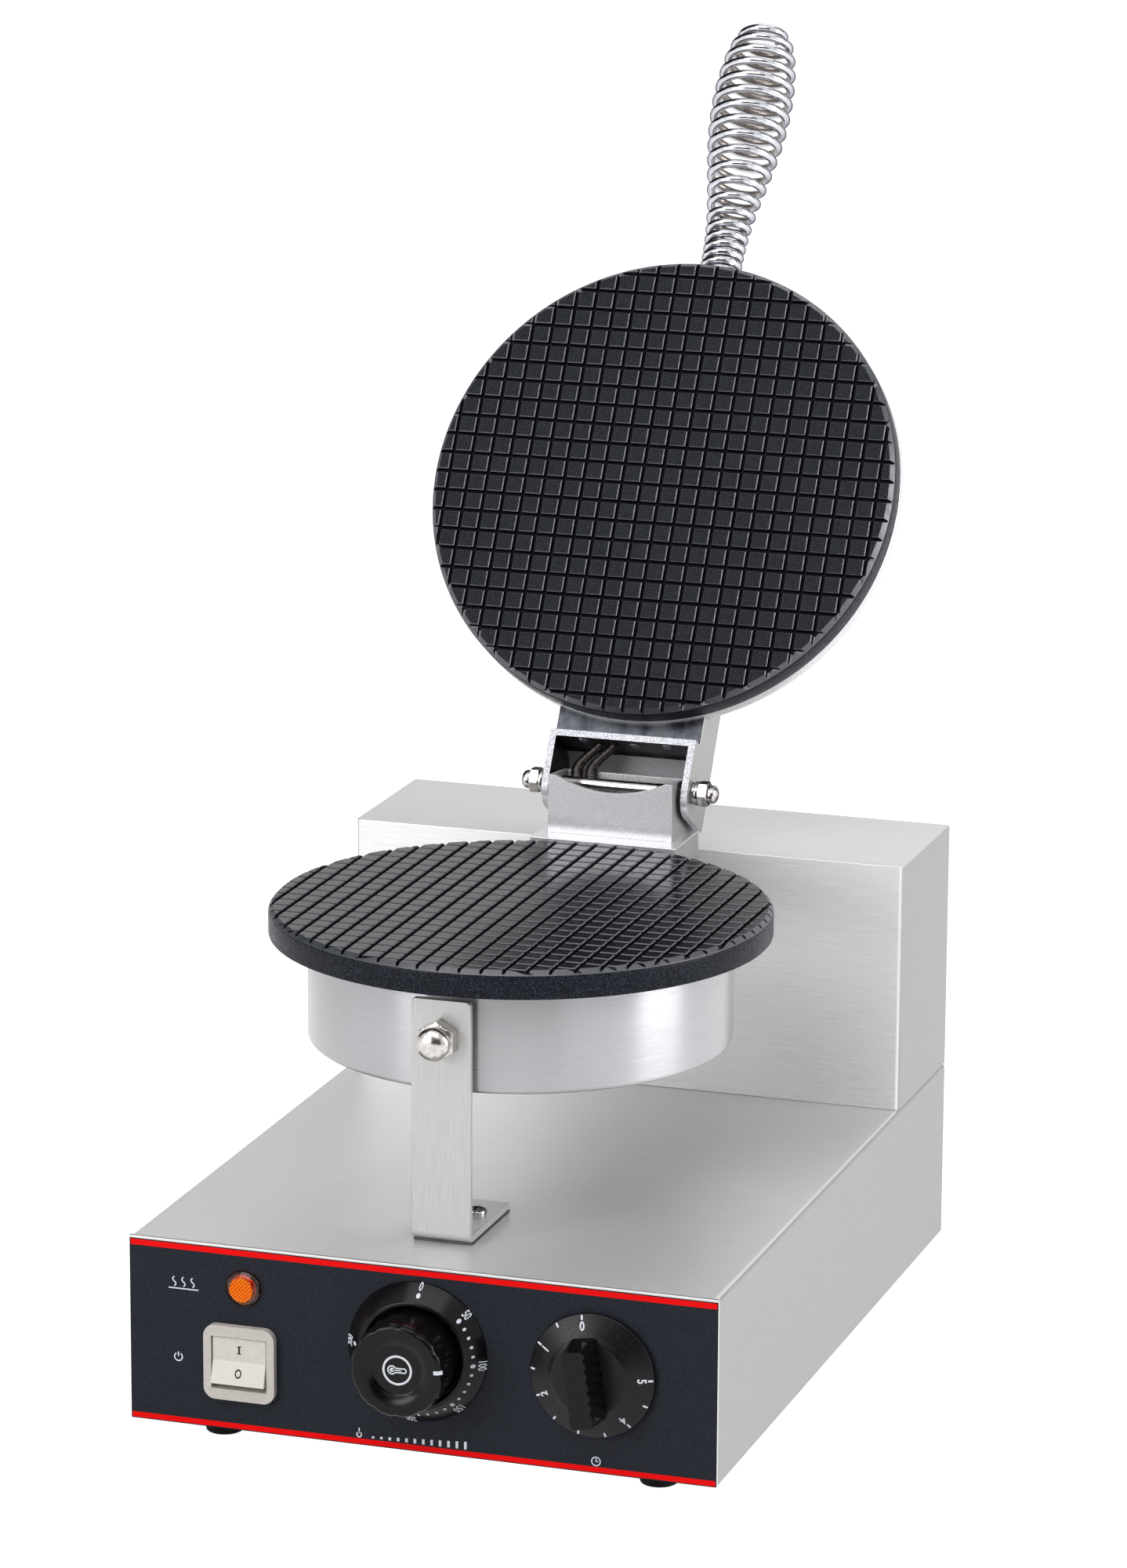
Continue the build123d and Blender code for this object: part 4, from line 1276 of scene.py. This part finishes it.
half_minute, minute_zero = -26.2, -2.0      # degrees
tick_radius, minute_radius, minute_height = 24.7, 21.3, 3.3
minutes = []
for half_step in range(11):
    angle = half_minute * half_step + minute_zero
    minutes.append(clockwise(prism(rectangle(0.8, 1.9, 0, tick_radius), sunk, 0.1), angle))
    if half_step % 2 == 0:
        digit = letters(str(half_step // 2), minute_height, digit_thickness, 0.9, 0.035)
        minutes.append(clockwise(shifted(digit, 0, minute_radius), angle))
minutes = draped(joined(minutes), skirt_height)
add("timer_print", minutes, white_print, "timer_knob", "black_plastic", place=timer_place)

# ---- pictograms on the panel ----

def bar(width, height, x=0.0, y=0.0):
    return prism(rectangle(width, height, x, y), print_root, print_thickness)


def line(points, width, closed=False):
    return stroke(points, width, print_root, print_thickness, closed)


def pictogram(name, meshes, x, rise):
    """White print on the panel, at a height over its lower edge."""
    place = on_panel(x, case_bottom + rise)
    add(name, joined(meshes), white_print, "base", "panel", place=place)


heat_waves = []
for x in (-4.0, 0.0, 4.0):
    wave = [(x + 0.7 * math.sin(s / 12 * TAU), -2.0 + 4.0 * s / 12) for s in range(13)]
    heat_waves.append(line(wave, 0.5))
pictogram("sign_heat", [*heat_waves, bar(13.0, 0.5, 0, -2.9)], -102.0, 60.8)
pictogram("sign_power", [line(arc(1.7, 125, 415), 0.5), bar(0.5, 1.9, 0, 1.2)], -104.5, 28.5)
staircase = []
for step in range(12):
    tall = 0.8 + 2.4 * step / 11
    staircase.append(bar(1.1, tall, -20 + step * 3.6, tall / 2 - 1.6))
bulb = line(arc(1.0, 60, 480, 24, x=-26.0, y=-0.7), 0.5)
pictogram("sign_temperature", [*staircase, bulb, bar(0.5, 2.4, -26.0, 1.0)], 0.0, 4.9)
clock = line(disc(1.8), 0.45, closed=True)
pictogram("sign_timer", [clock, bar(0.4, 1.3, 0, 0.55), bar(1.0, 0.4, 0.4, 0)], 75.0, 4.9)

# ---- floor, light and camera ----

def flat_sheet(name, width, height, material):
    """Sheet of the studio that looks along its own Z, with its sizes in metres."""
    bm = bmesh.new()
    bmesh.ops.create_grid(bm, x_segments=1, y_segments=1, size=0.5)
    bmesh.ops.scale(bm, vec=(width, height, 1), verts=bm.verts)
    mesh = mesh_of(name, bm)
    mesh.materials.append(material)
    return in_scene(name, mesh)


def calculated(tree, operation, *values):
    """Math node's result for numbers or other nodes' results."""
    node = tree.nodes.new("ShaderNodeMath")
    node.operation = operation
    for socket, value in zip(node.inputs, values):
        if isinstance(value, float):
            socket.default_value = value
        else:
            tree.links.new(value, socket)
    return node.outputs[0]


def seen_directly(tree):
    """1 for rays that show the background: straight, mirrored or through glass."""
    rays = tree.nodes.new("ShaderNodeLightPath").outputs
    shown = calculated(tree, "MAXIMUM", rays["Is Camera Ray"], rays["Is Glossy Ray"])
    return calculated(tree, "MAXIMUM", shown, rays["Is Transmission Ray"])


paper_grey, paper_glow = 0.6, 0.85
paper = bpy.data.materials.new("white_floor")
paper.use_nodes = True
tree = paper.node_tree
tree.nodes.clear()
output = tree.nodes.new("ShaderNodeOutputMaterial")
diffuse = tree.nodes.new("ShaderNodeBsdfDiffuse")
diffuse.inputs["Color"].default_value = (paper_grey, paper_grey, paper_grey, 1)
glow = tree.nodes.new("ShaderNodeEmission")
strength = calculated(tree, "MULTIPLY", seen_directly(tree), paper_glow)
tree.links.new(strength, glow.inputs["Strength"])
both = tree.nodes.new("ShaderNodeAddShader")
tree.links.new(diffuse.outputs[0], both.inputs[0])
tree.links.new(glow.outputs[0], both.inputs[1])
tree.links.new(both.outputs[0], output.inputs["Surface"])
floor = flat_sheet("floor", 120, 120, paper)

world = bpy.data.worlds.new("studio")
bpy.context.scene.world = world
world.use_nodes = True
tree = world.node_tree
ambient = 0.25
level = tree.nodes.new("ShaderNodeMapRange")
level.inputs["To Min"].default_value = ambient
level.inputs["To Max"].default_value = 1.0
tree.links.new(seen_directly(tree), level.inputs["Value"])
tree.nodes["Background"].inputs["Color"].default_value = (1, 1, 1, 1)
tree.links.new(level.outputs["Result"], tree.nodes["Background"].inputs["Strength"])

look_at = Vector((0, 0, 0.2))


def hang(thing, azimuth, elevation, distance):
    """Hangs a lamp or a card that faces the part; azimuth 0 is ahead of it and 90 to its right."""
    turn, rise = math.radians(azimuth), math.radians(elevation)
    level = math.cos(rise)
    away = Vector((math.sin(turn) * level, -math.cos(turn) * level, math.sin(rise)))
    thing.location = look_at + away * distance
    thing.rotation_euler = away.to_track_quat("Z", "Y").to_euler()


def soft_box(name, azimuth, elevation, width, height, radiance, distance=2.6):
    """Rectangular studio lamp."""
    lamp_data = bpy.data.lights.new(name, "AREA")
    lamp_data.shape = "RECTANGLE"
    lamp_data.size, lamp_data.size_y = width, height
    lamp_data.energy = radiance * math.pi * width * height
    hang(in_scene(name, lamp_data), azimuth, elevation, distance)


soft_box("lamp_front", -31, 14, 1.4, 0.9, 6.4)
soft_box("lamp_key", -6, 52, 2.4, 1.4, 2.6)
soft_box("lamp_right", 95, 16, 1.3, 1.6, 8.2)
soft_box("lamp_behind", 178, 50, 1.6, 1.0, 1.6)

card_material = bpy.data.materials.new("dark_card")
card_material.use_nodes = True
card_shader = card_material.node_tree.nodes["Principled BSDF"]
card_shader.inputs["Base Color"].default_value = (0.01, 0.01, 0.01, 1)
card_shader.inputs["Roughness"].default_value = 1.0


def dark_card(name, azimuth, elevation, width, height, distance=3.5):
    """Dark studio card that only reflections show."""
    card = flat_sheet(name, width, height, card_material)
    hang(card, azimuth, elevation, distance)
    for sight in ("visible_camera", "visible_diffuse", "visible_shadow"):
        setattr(card, sight, False)


dark_card("card_left", -112, 38, 4.2, 4.2)
dark_card("card_front", 16, 13, 3.2, 2.1)
dark_card("card_right", 126, 36, 1.6, 2.6)

# The camera's place and turns are those that set the frame's corners on the photo's.
camera_yaw, camera_pitch, camera_roll = 0.318984, 0.246483, 0.0053869
camera_place = (0.79707, front_y * MM - 2.23251, 0.88489)
camera_lens = 142.62
camera_data = bpy.data.cameras.new("camera")
camera_data.sensor_fit = "VERTICAL"
camera_data.sensor_height = 36.0
camera_data.lens = camera_lens
camera_data.clip_end = 200
camera = in_scene("camera", camera_data)
camera.matrix_world = (
    Matrix.Translation(camera_place)
    @ Matrix.Rotation(camera_yaw, 4, "Z")
    @ Matrix.Rotation(math.pi / 2 - camera_pitch, 4, "X")
    @ Matrix.Rotation(camera_roll, 4, "Z")
)
bpy.context.scene.camera = camera
bpy.context.scene.view_settings.view_transform = "Standard"
